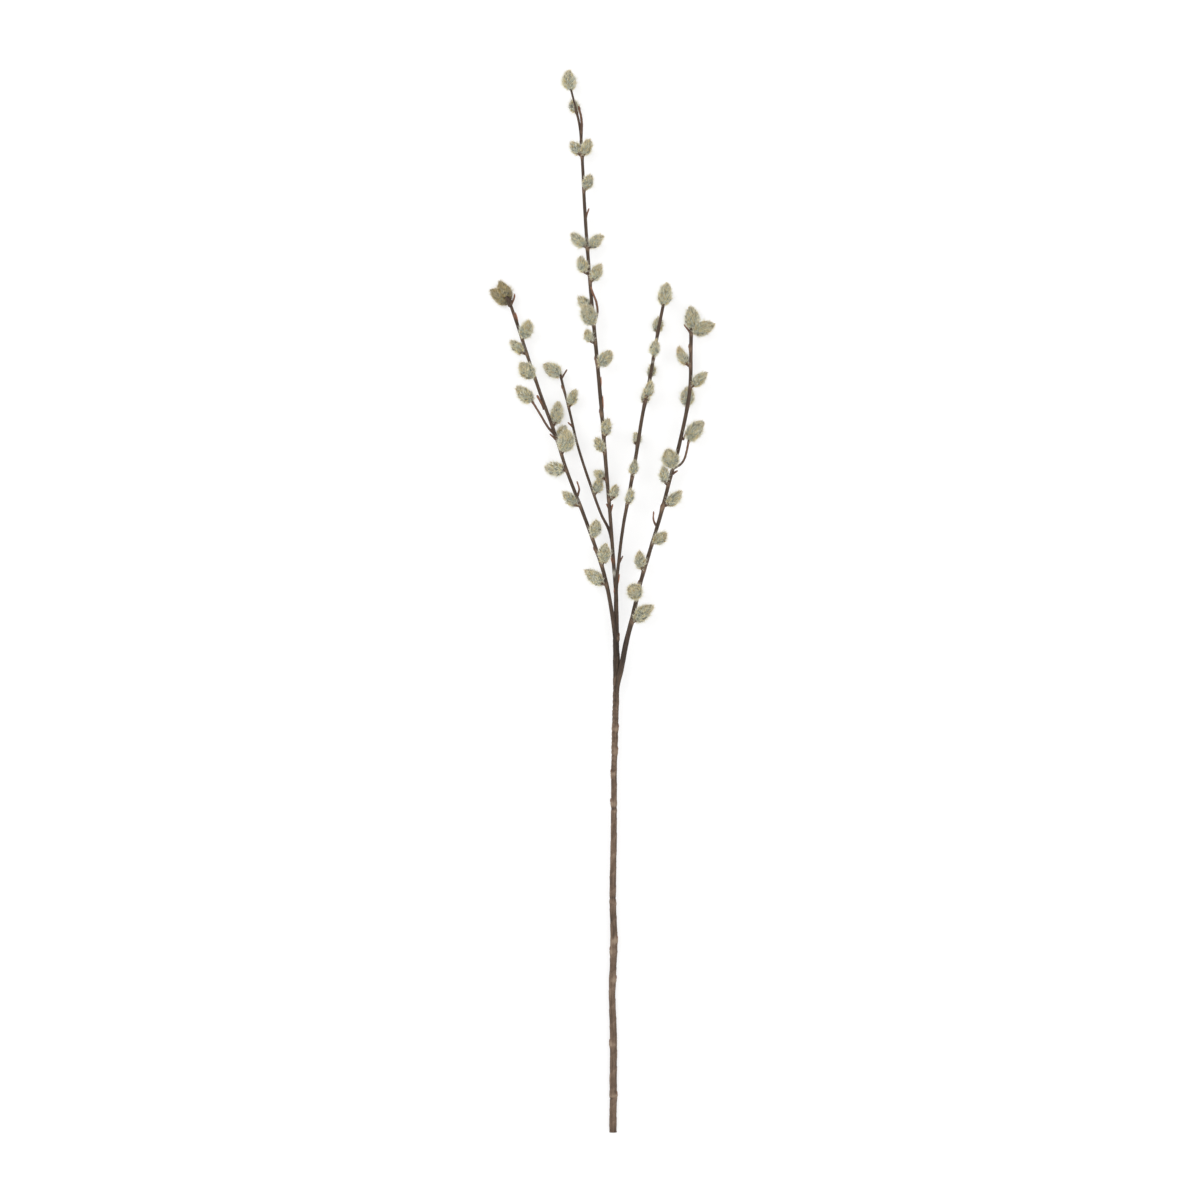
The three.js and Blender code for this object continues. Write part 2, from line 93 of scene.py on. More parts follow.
# Side shoots and bare spurs, in the same form. A shoot's first one may carry a catkin at its end.
SPURS = {
    "main_stem": [
        [(-26.9, 838, 12.3, 1.1), (-26.6, 856, 13.4, 1.1), (-28.9, 867.5, 14.6, 0.9)],
        [(-23.4, 772, 13, 0.9), (-22, 777, 13.4, 0.8), (-20.3, 781.5, 13.8, 0.5)],
        [(-15.8, 684, 13.8, 1), (-13.2, 694, 15, 1.05), (-14, 702, 15.4, 1), (-16.6, 709, 15, 0.9),
         (-19, 716, 14.2, 0.6)],
        [(-2.6, 524, 12.2, 1), (-0.3, 531.5, 13.2, 0.6)],
        [(-2.8, 527, 12.2, 0.9), (-5.6, 532, 12.4, 0.5)],
    ],
    "left_outer_branch": [
        [(-48.9, 590, 14.2, 1.1), (-55.4, 597.5, 16, 1), (-60.2, 605.5, 16.8, 0.95),
         (-68.2, 618.5, 16.4, 0.9)],
        [(-86.6, 700, 7.8, 1), (-83.6, 706.5, 8.4, 0.8), (-83.2, 709.5, 8.8, 0.5)],
        [(-58, 612, 13.4, 1), (-60.4, 617, 14.2, 1), (-64, 623.5, 14.8, 0.8)],
        [(-48.2, 586.5, 14.2, 0.9), (-53.2, 591, 14.6, 0.5)],
        [(-30, 539, 14.3, 0.9), (-28.6, 544.5, 15, 0.8), (-30.4, 551, 15.4, 0.5)],
    ],
    "left_inner_branch": [
        [(-43.8, 638, 7.3, 0.9), (-39, 645.7, 8, 0.5)],
        [(-33.6, 597, 9.2, 0.9), (-38, 601, 9.4, 0.5)],
    ],
    "right_inner_branch": [
        [(4.6, 481, 14.4, 0.9), (8.2, 488, 15, 0.5)],
    ],
    "right_outer_branch": [
        [(51, 562, 15, 1.1), (57.6, 566, 16.6, 1), (60.6, 571, 17.4, 0.95), (64, 585.5, 18, 0.9)],
        [(66, 676, 9.4, 1), (60.2, 683.5, 9.8, 0.5)],
        [(59, 586, 15.2, 0.9), (61.6, 592, 16, 0.5)],
        [(50.4, 557.5, 15, 0.9), (54.4, 560, 15.8, 0.5)],
        [(37.4, 512, 14.5, 0.9), (34.2, 518.5, 15, 0.8), (34.3, 525.5, 15.4, 0.5)],
    ],
}

# Resting buds: height along Y in millimetres, and the side in degrees (0 right, 90 up, 180 left).
BUDS = {
    "main_stem": [
        (32, 10), (76, 170), (130, 0), (154, 185), (164, 20), (280, 180), (305, 175), (324, 0),
        (343, 10), (420, 5), (466, 10), (609, 170), (654, 175),
    ],
    "left_outer_branch": [(493, 170)],
    "left_inner_branch": [(630, 170)],
    "right_outer_branch": [(464, 175), (529, 165), (664, 180)],
}
print("shoots:", len(ROUTES), "spurs:", sum(len(s) for s in SPURS.values()))

# %% [markdown]
# ## Where the cut end is in the frame
#
# The frame's origin is in the middle of the twig's box, and the routes start at the cut end. The
# ring of points at the low end of the stem's CAD tube gives the step from one to the other.

# %% From route millimetres to frame metres
def cad_points(node):
    """All vertices of a CAD node, as an array of x, y, z in metres."""
    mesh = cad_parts[node].data
    flat = np.zeros(len(mesh.vertices) * 3)
    mesh.vertices.foreach_get("co", flat)
    return flat.reshape(-1, 3)


stem_points = cad_points("main_stem")
END_BAND = 0.5 * MM
cut_ring = stem_points[stem_points[:, 1] < stem_points[:, 1].min() + END_BAND]
cut_middle = (cut_ring.min(0) + cut_ring.max(0)) / 2
CUT_END = cut_middle - np.array(ROUTES["main_stem"][0][:3]) * MM
print("cut end in mm:", (CUT_END / MM).round(2))


def placed(route):
    """A route as two arrays: its points in frame metres, and its radii in metres."""
    table = np.array(route, float) * MM
    return table[:, :3] + CUT_END, table[:, 3]

# %% [markdown]
# ## A smooth line through the route
#
# Straight pieces between route points would show as kinks. The CAD bends its tubes along a
# centripetal Catmull-Rom curve, a curve that passes through every point without overshooting where
# the points are unevenly spaced, so the same curve is worked out here.

# %% Centripetal curve, resampled at even steps
FINE_STEPS = 24  # points worked out between two route points, before the even steps are read off


def smooth_line(points, radii, step):
    """Points every step along the curve through the route, with their radii and distances.

    Between two points the curve is a blend of blends: the four nearest points are mixed in pairs,
    the pairs are mixed, and then the two results, each time in proportion to a knot value that
    grows with the square root of the distance between points.
    """
    ends = np.vstack([2 * points[0] - points[1], points, 2 * points[-1] - points[-2]])
    fine, fine_radius = [], []
    for i in range(len(points) - 1):
        a, b, c, d = ends[i:i + 4]
        knots = np.cumsum([0] + [np.sqrt(np.linalg.norm(q - p)) for p, q in ((a, b), (b, c), (c, d))])
        share = np.linspace(0, 1, FINE_STEPS, endpoint=i == len(points) - 2)
        t = (knots[1] + share * (knots[2] - knots[1]))[:, None]

        def mix(p, q, low, high):
            return (p * (knots[high] - t) + q * (t - knots[low])) / (knots[high] - knots[low])

        ab, bc, cd = mix(a, b, 0, 1), mix(b, c, 1, 2), mix(c, d, 2, 3)
        fine.append(mix(mix(ab, bc, 0, 2), mix(bc, cd, 1, 3), 1, 2))
        fine_radius.append(radii[i] + share * (radii[i + 1] - radii[i]))
    fine, fine_radius = np.vstack(fine), np.concatenate(fine_radius)
    run = np.concatenate([[0], np.cumsum(np.linalg.norm(np.diff(fine, axis=0), axis=1))])
    count = max(4, int(round(run[-1] / step)))
    along = np.linspace(0, run[-1], count + 1)
    line = np.stack([np.interp(along, run, fine[:, k]) for k in range(3)], 1)
    return line, np.interp(along, run, fine_radius), along


def unit(vectors):
    """Vectors scaled to length 1."""
    return vectors / np.linalg.norm(vectors, axis=-1, keepdims=True)


def side_frames(line):
    """The direction of the line at each point, and two directions square to it: side and up."""
    forward = unit(np.gradient(line, axis=0))
    reference = np.array([0.0, 0.0, 1.0])
    if np.abs(forward @ reference).max() > 0.9:
        reference = np.array([0.0, 1.0, 0.0])
    side = unit(np.cross(forward, reference))
    return forward, side, np.cross(side, forward)


stem_line, stem_radius, stem_run = smooth_line(*placed(ROUTES["main_stem"]), step=1 * MM)
print("main stem:", len(stem_line), "rings over", round(stem_run[-1] / MM), "mm")

# %% [markdown]
# ## Smooth randomness
#
# Bark is never even. Everything uneven below is drawn from one helper: a few cosines with random
# directions and phases, added up. It is smooth, it is a formula that works on whole arrays, and a
# fixed seed gives the same twig every time.

# %% Ripples: smooth repeatable noise
def ripples(seed, coordinates, waves=6):
    """Smooth noise of about -1 to 1.

    coordinates is a list of arrays, each already divided by the size of its bumps. The value is a
    sum of cosines of mixed coordinates: every wave mixes them with its own random weights, adds a
    random phase, and counts less as its weights grow.
    """
    draw = np.random.default_rng(seed)
    total, weight_sum = 0.0, 0.0
    for _ in range(waves):
        mix = draw.normal(0, 1, len(coordinates))
        weight = 1 / (1 + np.linalg.norm(mix))
        phase = draw.uniform(0, 2 * np.pi)
        angle = sum(m * c for m, c in zip(mix, coordinates)) * 2 * np.pi + phase
        total = total + weight * np.cos(angle)
        weight_sum += weight ** 2
    return total / np.sqrt(2 * weight_sum)


sample = ripples(1, [np.linspace(0, 20, 500)])
print("ripples span", sample.min().round(2), "to", sample.max().round(2))

# %% [markdown]
# ## Bark as a change of radius
#
# The lower stem looks wrapped: lengthwise wrinkles, a scalloped edge where turns of bark overlap,
# and a few rings where one length of wrap ends. The young shoots are smoother, with a swelling at
# each bud. All of it is a change of radius that depends on the distance along the shoot and the
# angle round it, so it can be a formula on the grid of the tube, and it shows in the outline too.

# %% Relief of the bark, in metres
# Rings on the stem: height along the route, half width, and change of radius, all in millimetres.
STEM_RINGS = [
    (29.5, 0.8, -0.42), (31.5, 1.0, 0.22), (195, 1.6, 0.3), (198.5, 0.8, -0.25), (275, 1.3, -0.42),
    (273, 0.8, 0.15), (383, 4, 0.15), (417, 1.2, 0.2), (459, 1.3, 0.25), (474, 1.0, 0.15),
]
SCALLOP_FROM, SCALLOP_TO = 300 * MM, 380 * MM
SCALLOP_PITCH = 3.9 * MM
WRAP_PITCH = 14 * MM
WRAP_TOP = 418 * MM  # the thick, wrapped part of the stem ends here


def soft_step(x, edge, width):
    """0 well below the edge and 1 well above it, with a smooth rise over about the width."""
    return 0.5 + 0.5 * np.tanh((x - edge) / width)


def bark_relief(seed, run, angle, radius, wrapped):
    """Change of radius over the grid run by angle; wrapped is 0 for young wood and 1 for the stem.

    Wrinkles are cosines of whole numbers of waves round the stem, whose phase drifts slowly along
    it. Under them is a broad unevenness. On wrapped wood a saw-tooth along a spiral is the edge of
    each turn of the wrap.
    """
    s, a = run[:, None] / MM, angle[None, :]
    c, d = np.cos(a), np.sin(a)
    r = radius[:, None] / MM
    wrinkle = 0.0
    for k, waves in enumerate((5, 8, 13)):
        drift = 1.8 * ripples(seed + k, [s / 60, 0 * s])
        fade = 0.55 + 0.45 * ripples(seed + 20 + k, [s / 17, c / 3, d / 3])
        wrinkle = wrinkle + fade * np.cos(waves * a + drift + k) / (1 + k)
    broad = ripples(seed + 40, [s / 23, c / 2.2, d / 2.2])
    grain = ripples(seed + 50, [s / 3.1, c * 1.2, d * 1.2], waves=9)
    turn = (s / (WRAP_PITCH / MM) + a / (2 * np.pi) + 0.15 * ripples(seed + 60, [s / 40, 0 * s])) % 1.0
    edge = turn ** 3 - 0.25
    young = 0.022 * wrinkle + 0.04 * broad + 0.022 * grain
    old = 0.045 * wrinkle + 0.05 * broad + 0.03 * grain + 0.10 * edge
    relief = r * (young + (old - young) * wrapped[:, None] * 0.8)
    return relief * MM


def ring_relief(run, angle, seed):
    """The stem's rings, each a Gaussian bump or groove that runs a little askew round it."""
    change = np.zeros((len(run), len(angle)))
    for k, (height, half_width, amount) in enumerate(STEM_RINGS):
        askew = 0.9 * np.cos(angle[None, :] + 1.7 * k + seed)
        distance = (run[:, None] / MM - height + askew) / half_width
        change += amount * np.exp(-distance ** 2)
    return change * MM


def scallops(run, angle):
    """The puckered stretch under the fork: rounded ridges one pitch apart, strongest on one side."""
    inside = soft_step(run, SCALLOP_FROM, 6 * MM) * (1 - soft_step(run, SCALLOP_TO, 6 * MM))
    phase = run / SCALLOP_PITCH + 0.35 * ripples(71, [run / (9 * MM)])
    ridge = np.abs(np.cos(np.pi * phase[:, None] - angle[None, :] / 2))
    one_side = 0.6 - 0.4 * np.cos(angle[None, :])
    return 0.34 * MM * inside[:, None] * one_side * (ridge - 0.6)


around = np.linspace(0, 2 * np.pi, 36, endpoint=False)
sample = bark_relief(3, stem_run, around, stem_radius, 0 * stem_run + 1) / MM
print("bark relief of old wood in mm:", sample.min().round(2), "to", sample.max().round(2))

# %% [markdown]
# ## Faces of a closed tube
#
# A shoot could be a curve object with a bevel, but a bevel has one section all along. A swept grid
# has its own radius at every point, so wrinkles and swellings are part of the shape. The faces of
# such a grid are only counting: each joins two rows and two columns, and one point closes each end.

# %% Grid and caps
def tube_faces(rows, columns):
    """Quads of a grid whose columns close on themselves, and the triangles that close its ends.

    The vertices are the grid, row by row, then the point that closes the first row, then the point
    that closes the last.
    """
    row, column = np.meshgrid(np.arange(rows - 1), np.arange(columns), indexing="ij")
    after = (column + 1) % columns
    low, high = row * columns, (row + 1) * columns
    quads = np.stack([low + column, high + column, high + after, low + after], -1).reshape(-1, 4)
    column, after = column[0], after[0]
    top, pole = (rows - 1) * columns, np.full(columns, rows * columns)
    start = np.stack([pole, column, after], -1)
    end = np.stack([pole + 1, top + after, top + column], -1)
    return [quads, np.vstack([start, end])]


print("a tube of 4 by 3 points has quads and triangles:", [len(part) for part in tube_faces(4, 3)])

# %% [markdown]
# ## A flat sheet for every face
#
# A mesh can only keep its colours if each face has a place of its own on a flat sheet. Automatic
# unwrapping is slow on a hundred thousand hairs, but these shapes are grids, so a formula places
# them: angle across, length upwards. A long tube is cut into strips that stand side by side.

# %% Places on the sheet
CAP_BAND = 0.02  # share of a tube's height on the sheet that each cap takes


def tube_places(rows, columns):
    """Where the faces of such a tube go on a flat unit square: angle across, rows upwards.

    The caps take a narrow band at each end, so that no face loses its width.
    """
    row, column = np.meshgrid(np.arange(rows - 1), np.arange(columns), indexing="ij")
    low, high = (CAP_BAND + (1 - 2 * CAP_BAND) * (row + k) / (rows - 1) for k in (0, 1))
    left, right = column / columns, (column + 1) / columns
    quads = np.stack([left, low, left, high, right, high, right, low], -1).reshape(-1, 4, 2)
    left, right = left[0], right[0]
    middle, floor, roof = (left + right) / 2, 0 * left, 0 * left + 1
    start = np.stack([middle, floor, left, floor + CAP_BAND, right, floor + CAP_BAND], -1)
    end = np.stack([middle, roof, right, roof - CAP_BAND, left, roof - CAP_BAND], -1)
    return [quads, np.vstack([start, end]).reshape(-1, 3, 2)]


def boxed(places, left, low, width, height):
    """Places on the unit square, moved and scaled into a box of it."""
    return [np.array([left, low]) + part * np.array([width, height]) for part in places]


def in_strips(places, strips, width):
    """A long tube's places, cut across into strips that stand side by side."""
    cut = []
    for part in places:
        strip = np.minimum(np.floor(part[..., 1].mean(1) * strips), strips - 1)[:, None]
        across = (strip + 0.03 + 0.94 * part[..., 0]) * width / strips
        cut.append(np.stack([across, part[..., 1] * strips - strip], -1))
    return cut


print("faces placed:", [len(part) for part in tube_places(4, 3)])

# %% [markdown]
# ## Many shells, one object
#
# Joining thousands of small Blender objects would be slow, so shells are collected as arrays and the
# mesh is made once. Each vertex may carry numbers, such as its age, which the materials read later.
# Whatever would reach below the table is pressed up a little, as real hairs and buds are.

# %% A surface that collects shells
SMALL_FROM = 0.84  # the flat sheet's right end, kept for small parts
SMALL_COLUMNS = 2


def pressed(vertices):
    """Vertices kept above the table: below 0.4 mm, a height sinks towards 0.05 mm exponentially."""
    height = vertices[:, 2] / MM
    low = 0.05 + 0.35 * np.exp((np.minimum(height, 0.4) - 0.4) / 0.35)
    vertices[:, 2] = np.where(height < 0.4, low, height) * MM
    return vertices


class Surface:
    """Vertices, faces, places on a flat sheet and numbers per vertex, from many closed shells."""

    def __init__(self):
        self.vertices, self.faces, self.places, self.numbers, self.count = [], [], [], {}, 0
        self.small = []

    def add(self, vertices, faces, places, small=False, **numbers):
        """Adds a shell. faces is a list of index arrays, and each number is one value per vertex."""
        self.faces += [part + self.count for part in faces]
        self.small += [len(self.places) + k for k in range(len(places))] if small else []
        self.places += places
        self.vertices.append(vertices)
        for name, value in numbers.items():
            self.numbers.setdefault(name, []).append(np.broadcast_to(value, len(vertices)))
        self.count += len(vertices)

    def shelve_small_parts(self):
        """Gives each small shell a cell of its own at the right end of the sheet."""
        parts = len(self.small) // 2
        rows = max(1, -(-parts // SMALL_COLUMNS))
        wide, high = (1 - SMALL_FROM) / SMALL_COLUMNS, 1 / rows
        for order, index in enumerate(self.small):
            column, row = divmod(order // 2, rows)
            box = (SMALL_FROM + column * wide, row * high, 0.94 * wide, 0.94 * high)
            self.places[index], = boxed([self.places[index]], *box)

    def build(self, name):
        """Makes the Blender object, with its flat sheet and each named number on the points."""
        self.shelve_small_parts()
        points = pressed(np.vstack(self.vertices))
        corners = np.concatenate([part.reshape(-1) for part in self.faces])
        sizes = np.concatenate([np.full(len(part), part.shape[1]) for part in self.faces])
        starts = np.concatenate([[0], np.cumsum(sizes)[:-1]])
        mesh = bpy.data.meshes.new(name)
        mesh.vertices.add(len(points))
        mesh.loops.add(len(corners))
        mesh.polygons.add(len(sizes))
        mesh.vertices.foreach_set("co", points.astype(np.float32).reshape(-1))
        mesh.loops.foreach_set("vertex_index", corners.astype(np.int32))
        mesh.polygons.foreach_set("loop_start", starts.astype(np.int32))
        mesh.update(calc_edges=True)
        mesh.shade_smooth()
        sheet = mesh.uv_layers.new(name="OFBake")
        flat = np.concatenate([part.reshape(-1) for part in self.places])
        sheet.data.foreach_set("uv", flat.astype(np.float32))
        for number, parts in self.numbers.items():
            layer = mesh.attributes.new(number, "FLOAT", "POINT")
            layer.data.foreach_set("value", np.concatenate(parts).astype(np.float32))
        piece = bpy.data.objects.new(name, mesh)
        bpy.context.scene.collection.objects.link(piece)
        return piece


print("pressed heights in mm:", (pressed(np.array([[0, 0, -1.0], [0, 0, 5]]) * MM)[:, 2] / MM).round(2))

# %% [markdown]
# ## Sweeping a tube
#
# Each ring of the tube sits square to the line. A ring's radius may be one number, or one number for
# each of its points, which is how the bark relief gets into the shape.

# %% Sweep
def sweep(line, ring_radius, sides, start_dome=0.0, end_dome=1.0, frames=None):
    """A closed tube: vertices, faces and their places on a flat unit square.

    Each vertex is a point of the line plus side times the cosine and up times the sine of its
    angle, times the ring's radius there. A dome is the height of the pole over the end ring, as a
    share of the ring's radius.
    """
    forward, side, up = frames or side_frames(line)
    angle = np.linspace(0, 2 * np.pi, sides, endpoint=False)
    radius = np.broadcast_to(ring_radius.reshape(len(line), -1), (len(line), sides))
    spoke = side[:, None, :] * np.cos(angle)[:, None] + up[:, None, :] * np.sin(angle)[:, None]
    rings = line[:, None, :] + spoke * radius[..., None]
    start = line[0] - forward[0] * radius[0].mean() * start_dome
    end = line[-1] + forward[-1] * radius[-1].mean() * end_dome
    vertices = np.vstack([rings.reshape(-1, 3), start, end])
    return vertices, tube_faces(len(line), sides), tube_places(len(line), sides)


shell = sweep(stem_line, stem_radius, 12)
print("a plain sweep of the main stem:", len(shell[0]), "vertices")

# %% [markdown]
# ## Reading each catkin from the frame
#
# Each catkin in the CAD is a plain egg. Its two poles are the two points farthest apart, and the
# egg is fatter near its base, so the rings of points, weighted by their distance from the axis,
# balance nearer to the base. That gives the base, the tip and the width with no extra table.

# %% Base, tip and width of every catkin
def read_egg(node):
    """Base, tip and width of an egg-shaped CAD node, in metres."""
    points = cad_points(node)
    middle = points.mean(0)
    first = points[np.argmax(np.linalg.norm(points - middle, axis=1))]
    second = points[np.argmax(np.linalg.norm(points - first, axis=1))]
    axis = unit(second - first)
    height = (points - first) @ axis
    reach = np.linalg.norm(points - first - height[:, None] * axis, axis=1)
    balance = (reach * height).sum() / reach.sum()
    if balance > np.linalg.norm(second - first) / 2:
        first, second = second, first
    return first, second, 2 * reach.max()


TWINS = "catkin_left_outer_branch_twins"
single = [node for node in sorted(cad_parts) if node.startswith("catkin_") and node != TWINS]
catkins = {node: read_egg(node) for node in single}
spans = [np.linalg.norm(tip - base) / MM for base, tip, _ in catkins.values()]
print("catkins:", len(catkins), "lengths in mm:", round(min(spans), 1), "to", round(max(spans), 1))

# %% [markdown]
# ## The twins
#
# The twins at the left tip are one CAD body, two eggs on one knob. The knob sits on the end of the
# shoot, the far end of the body from it is the first tip, and the far point of what lies more than
# some degrees away from that direction is the second tip.

# %% Bases, tips and widths of the twins
TWIN_ANGLE = 22  # degrees that part the two eggs, seen from the knob
TWIN_WIDTHS = (11.5 * MM, 10.8 * MM)
TWIN_STARTS = np.array([(-1, 1.2, 0), (0, 4.6, 1)]) * MM  # where each starts, from the shoot's end
TWIN_KNOB = [(-86.9, 700, 7.5, 1.5), (-88.2, 704, 11.5, 1.6), (-89.9, 707, 13.3, 1.2)]


def read_twins(node, shoot):
    """Base, tip and width of the two eggs of a twin body."""
    points = cad_points(node)
    knob = placed(ROUTES[shoot])[0][-1]
    reach = points - knob
    length = np.linalg.norm(reach, axis=1)
    widest = np.argmax(length)
    apart = np.degrees(np.arccos(np.clip(unit(reach) @ unit(reach[widest]), -1, 1)))
    other = np.argmax(np.where(apart > TWIN_ANGLE, length, 0))
    tips = sorted((points[widest], points[other]), key=lambda tip: tip[0])
    return [(knob + start, tip, w) for start, tip, w in zip(TWIN_STARTS, tips, TWIN_WIDTHS)]


twins = read_twins(TWINS, "left_outer_branch")
print("twin tips in mm:", [(tip / MM).round(1).tolist() for _, tip, _ in twins])

# %% [markdown]
# ## Small parts of the wood
#
# A shoot carries bare spurs, resting buds, slivers of lifted bark, and a nub with a cup under every
# catkin. Copies of one model would all look alike, so each is a short sweep along its own line, with
# a formula for its girth. All of them start inside the wood, so no gap shows.

# %% Spurs, buds, flakes and nubs
SPUR_STEP, SPUR_SIDES, NUB_SIDES = 0.7 * MM, 12, 12


def add_part(wood, shell, relief, tint):
    """Adds a small part of young wood."""
    wood.add(*shell, small=True, age=0.0, relief=relief, tint=tint, cut=0.0)


def outward_at(frames, index, roll):
    """The direction out of the shoot at a side given in degrees: 0 is right and 90 is up."""
    turn = np.radians(roll)
    return frames[1][index] * np.cos(turn) + frames[2][index] * np.sin(turn)


def add_spur(wood, route, seed, tint):
    """A short bare spur: a tapered tube, thicker at its foot, with a rounded, slightly swollen tip."""
    line, radius, run = smooth_line(*placed(route), SPUR_STEP)
    angle = np.linspace(0, 2 * np.pi, SPUR_SIDES, endpoint=False)
    foot = 0.35 * np.exp(-run / (2.2 * MM))
    tip = 0.25 * np.exp(-((run - run[-1] + 1.4 * MM) / (0.9 * MM)) ** 2)
    rough = ripples(seed, [run[:, None] / (4 * MM), np.cos(angle)[None, :], np.sin(angle)[None, :]])
    grid = radius[:, None] * (1 + foot[:, None] + tip[:, None] + 0.10 * rough)
    shell = sweep(line, grid, SPUR_SIDES)
    share = np.append(np.repeat(run / run[-1], SPUR_SIDES), [0, 1])
    relief = np.append(rough.reshape(-1), [0, 0])
    add_part(wood, shell, relief, tint * share)


def add_bud(wood, point, forward, outward, radius):
    """A resting bud: a pointed teardrop that lies on the bark, leaning a little away from it."""
    share = np.linspace(0, 1, 9)
    length = 4.4 * MM
    start = point + outward * (radius - 0.35 * MM) - forward * 1.0 * MM
    line = start + np.outer(share * length, forward) + np.outer(0.55 * MM * share ** 1.5, outward)
    girth = np.sin(np.pi * np.clip(share, 0.04, 0.985) ** 0.75) ** 0.8
    shell = sweep(line, girth * 0.95 * MM, 10, start_dome=0.4, end_dome=1.2)
    add_part(wood, shell, 0.2, 0.45)


def add_flake(wood, line, radius, frames, low, high, roll):
    """A sliver of lifted red bark between two heights: a thin lens that lies along the shoot."""
    level = (line[:, 1] - CUT_END[1]) / MM
    inside = np.flatnonzero((level > low) & (level < high))[::2]
    outward = outward_at(frames, inside, roll)
    share = np.linspace(0, 1, len(inside))
    lift = radius[inside] + (0.1 + 0.5 * share ** 3) * MM
    girth = 0.62 * np.sin(np.pi * np.clip(share, 0.05, 0.95)) ** 0.6 * MM
    shell = sweep(line[inside] + outward * lift[:, None], girth, 8)
    add_part(wood, shell, 0.6, 1.2)


def add_nub(wood, base, tip, line, radius, frames, at_end):
    """The nub and cup under a catkin: a bent tube from inside the wood to inside the fur.

    Its line is a quadratic curve: it starts in the middle of the shoot a little below the catkin,
    turns at a point behind the catkin's base, and ends along the catkin's axis. Its radius narrows
    and then opens into the cup. Returns its index on the line and, on a shoot's side, its direction.
    """
    axis = unit(tip - base)
    index = len(line) - 1 if at_end else int(np.argmin(np.linalg.norm(line - base, axis=1)))
    forward = frames[0][index]
    start = line[index] - forward * (0.5 * MM if at_end else 1.8 * MM)
    turn = base - axis * 0.9 * MM
    end = base + axis * 1.9 * MM
    t = np.linspace(0, 1, 12)[:, None]
    curve = (1 - t) ** 2 * start + 2 * t * (1 - t) * turn + t ** 2 * end
    from_base = (curve - base) @ axis / MM
    cup = 1.0 + 0.95 * np.clip((from_base + 0.6) / 2.2, 0, 1) ** 0.8
    foot = 0.55 * np.exp(-t[:, 0] * 6) + 0.12 * np.exp(-((t[:, 0] - 0.42) / 0.1) ** 2)
    girth = (cup + foot) * MM * (0.92 if radius[index] < 1.2 * MM else 1.0)
    shell = sweep(curve, girth, NUB_SIDES, end_dome=0.3)
    share = np.append(np.repeat(t[:, 0], NUB_SIDES), [0, 1])
    add_part(wood, shell, -0.2 + 0.3 * share, 0.25 * share)
    return index, unit(base - line[index]) if not at_end else None


trial = Surface()
add_spur(trial, SPURS["main_stem"][0], 0, tint=0.4)
print("a spur has", trial.count, "vertices")

# %% [markdown]
# ## Marks on the bark
#
# The bark is darkened with painted shade where shoots join, and elsewhere it has a few reddish
# rings, rings of pale fuzz and lifted slivers. A painted picture would fit one side only, so they
# are short tables of heights that apply all round.

# %% Rings of colour, and the cut end
# By height in millimetres: rings are height, width and strength; flakes are the lowest and highest
# height and the side in degrees.
RED_RINGS = {"main_stem": [(459, 1.8, 0.9), (484, 2.5, 0.4)], "left_outer_branch": [(691, 2.5, 0.4)]}
FORK_SHADE_RINGS = [(406, 20, 1.0)]  # the crotch, where shoots join, darkened with painted shade
PALE_RINGS = {
    "main_stem": [(473.5, 2.6, 1.0)],
    "right_inner_branch": [(652, 1.0, 0.5), (624, 0.9, 0.4)],
}
FLAKES = {
    "main_stem": [(612, 625, 12), (631, 641, 15), (482, 489, 150)],
    "left_outer_branch": [(686, 694, 12)],
    "right_inner_branch": [(464.5, 473.5, 5)],
}


def rings_at(level, rings):
    """Bands of colour across a shoot: Gaussians of the height, given as height, width and strength."""
    return sum((s * np.exp(-((level - h) / w) ** 2) for h, w, s in rings), 0 * level)


def with_cut_face(line, grid, frames, relief):
    """Adds the cut face to the low end of the stem: a rounded rim and two flat inner rings."""
    inset = np.array([0.35, 0.8, 0.94])
    set_back = np.array([0, 0, 0.05]) * MM
    rows = len(inset)
    face_line = line[0] + set_back[:, None] * frames[0][0]
    line = np.vstack([face_line, line[0] + 0.35 * MM * frames[0][0], line[1:]])
    grid = np.vstack([grid[0] * inset[:, None], grid])
    relief = np.vstack([np.zeros((rows, grid.shape[1])), relief])
    frames = tuple(np.vstack([np.repeat(f[:1], rows, 0), f]) for f in frames)
    cut = np.zeros(len(line))
    cut[:rows - 1] = 1
    return line, grid, frames, relief, cut


print("rings:", sum(map(len, (*RED_RINGS.values(), FORK_SHADE_RINGS, *PALE_RINGS.values()))))

# %% [markdown]
# ## Growing the shoots
#
# Each shoot and everything woody on it has grown together, so it becomes one object. The visible
# tube starts a little lower than its CAD tube and sinks into the stem, so the joint looks grown, and
# the wood swells a little under every nub and bud.

# %% One shoot with all its parts
# Roots of the side shoots, sunk into the stem, as more points of their routes.
ROOTS = {
    "left_outer_branch": [(2.2, 402, 10.8, 0.9), (1.9, 410, 12.6, 1.3)],
    "left_inner_branch": [(-0.3, 482, 11.0, 0.7), (-0.4, 489, 9.6, 1.0)],
    "right_inner_branch": [(2.4, 448, 11.4, 0.8), (2.6, 455, 13.2, 1.1)],
    "right_outer_branch": [(3.0, 366, 10.0, 0.9), (3.6, 374, 12.2, 1.4)],
}
TUBE_STEP, STEM_SIDES, SHOOT_SIDES = 0.8 * MM, 36, 24
STRIPS, SHORT_STRIPS = 7, 4  # strips that a stem and a shoot are cut into on their flat sheet
END_REACH = 1.5 * MM  # a catkin that starts this near to the end of a shoot or spur sits on that end


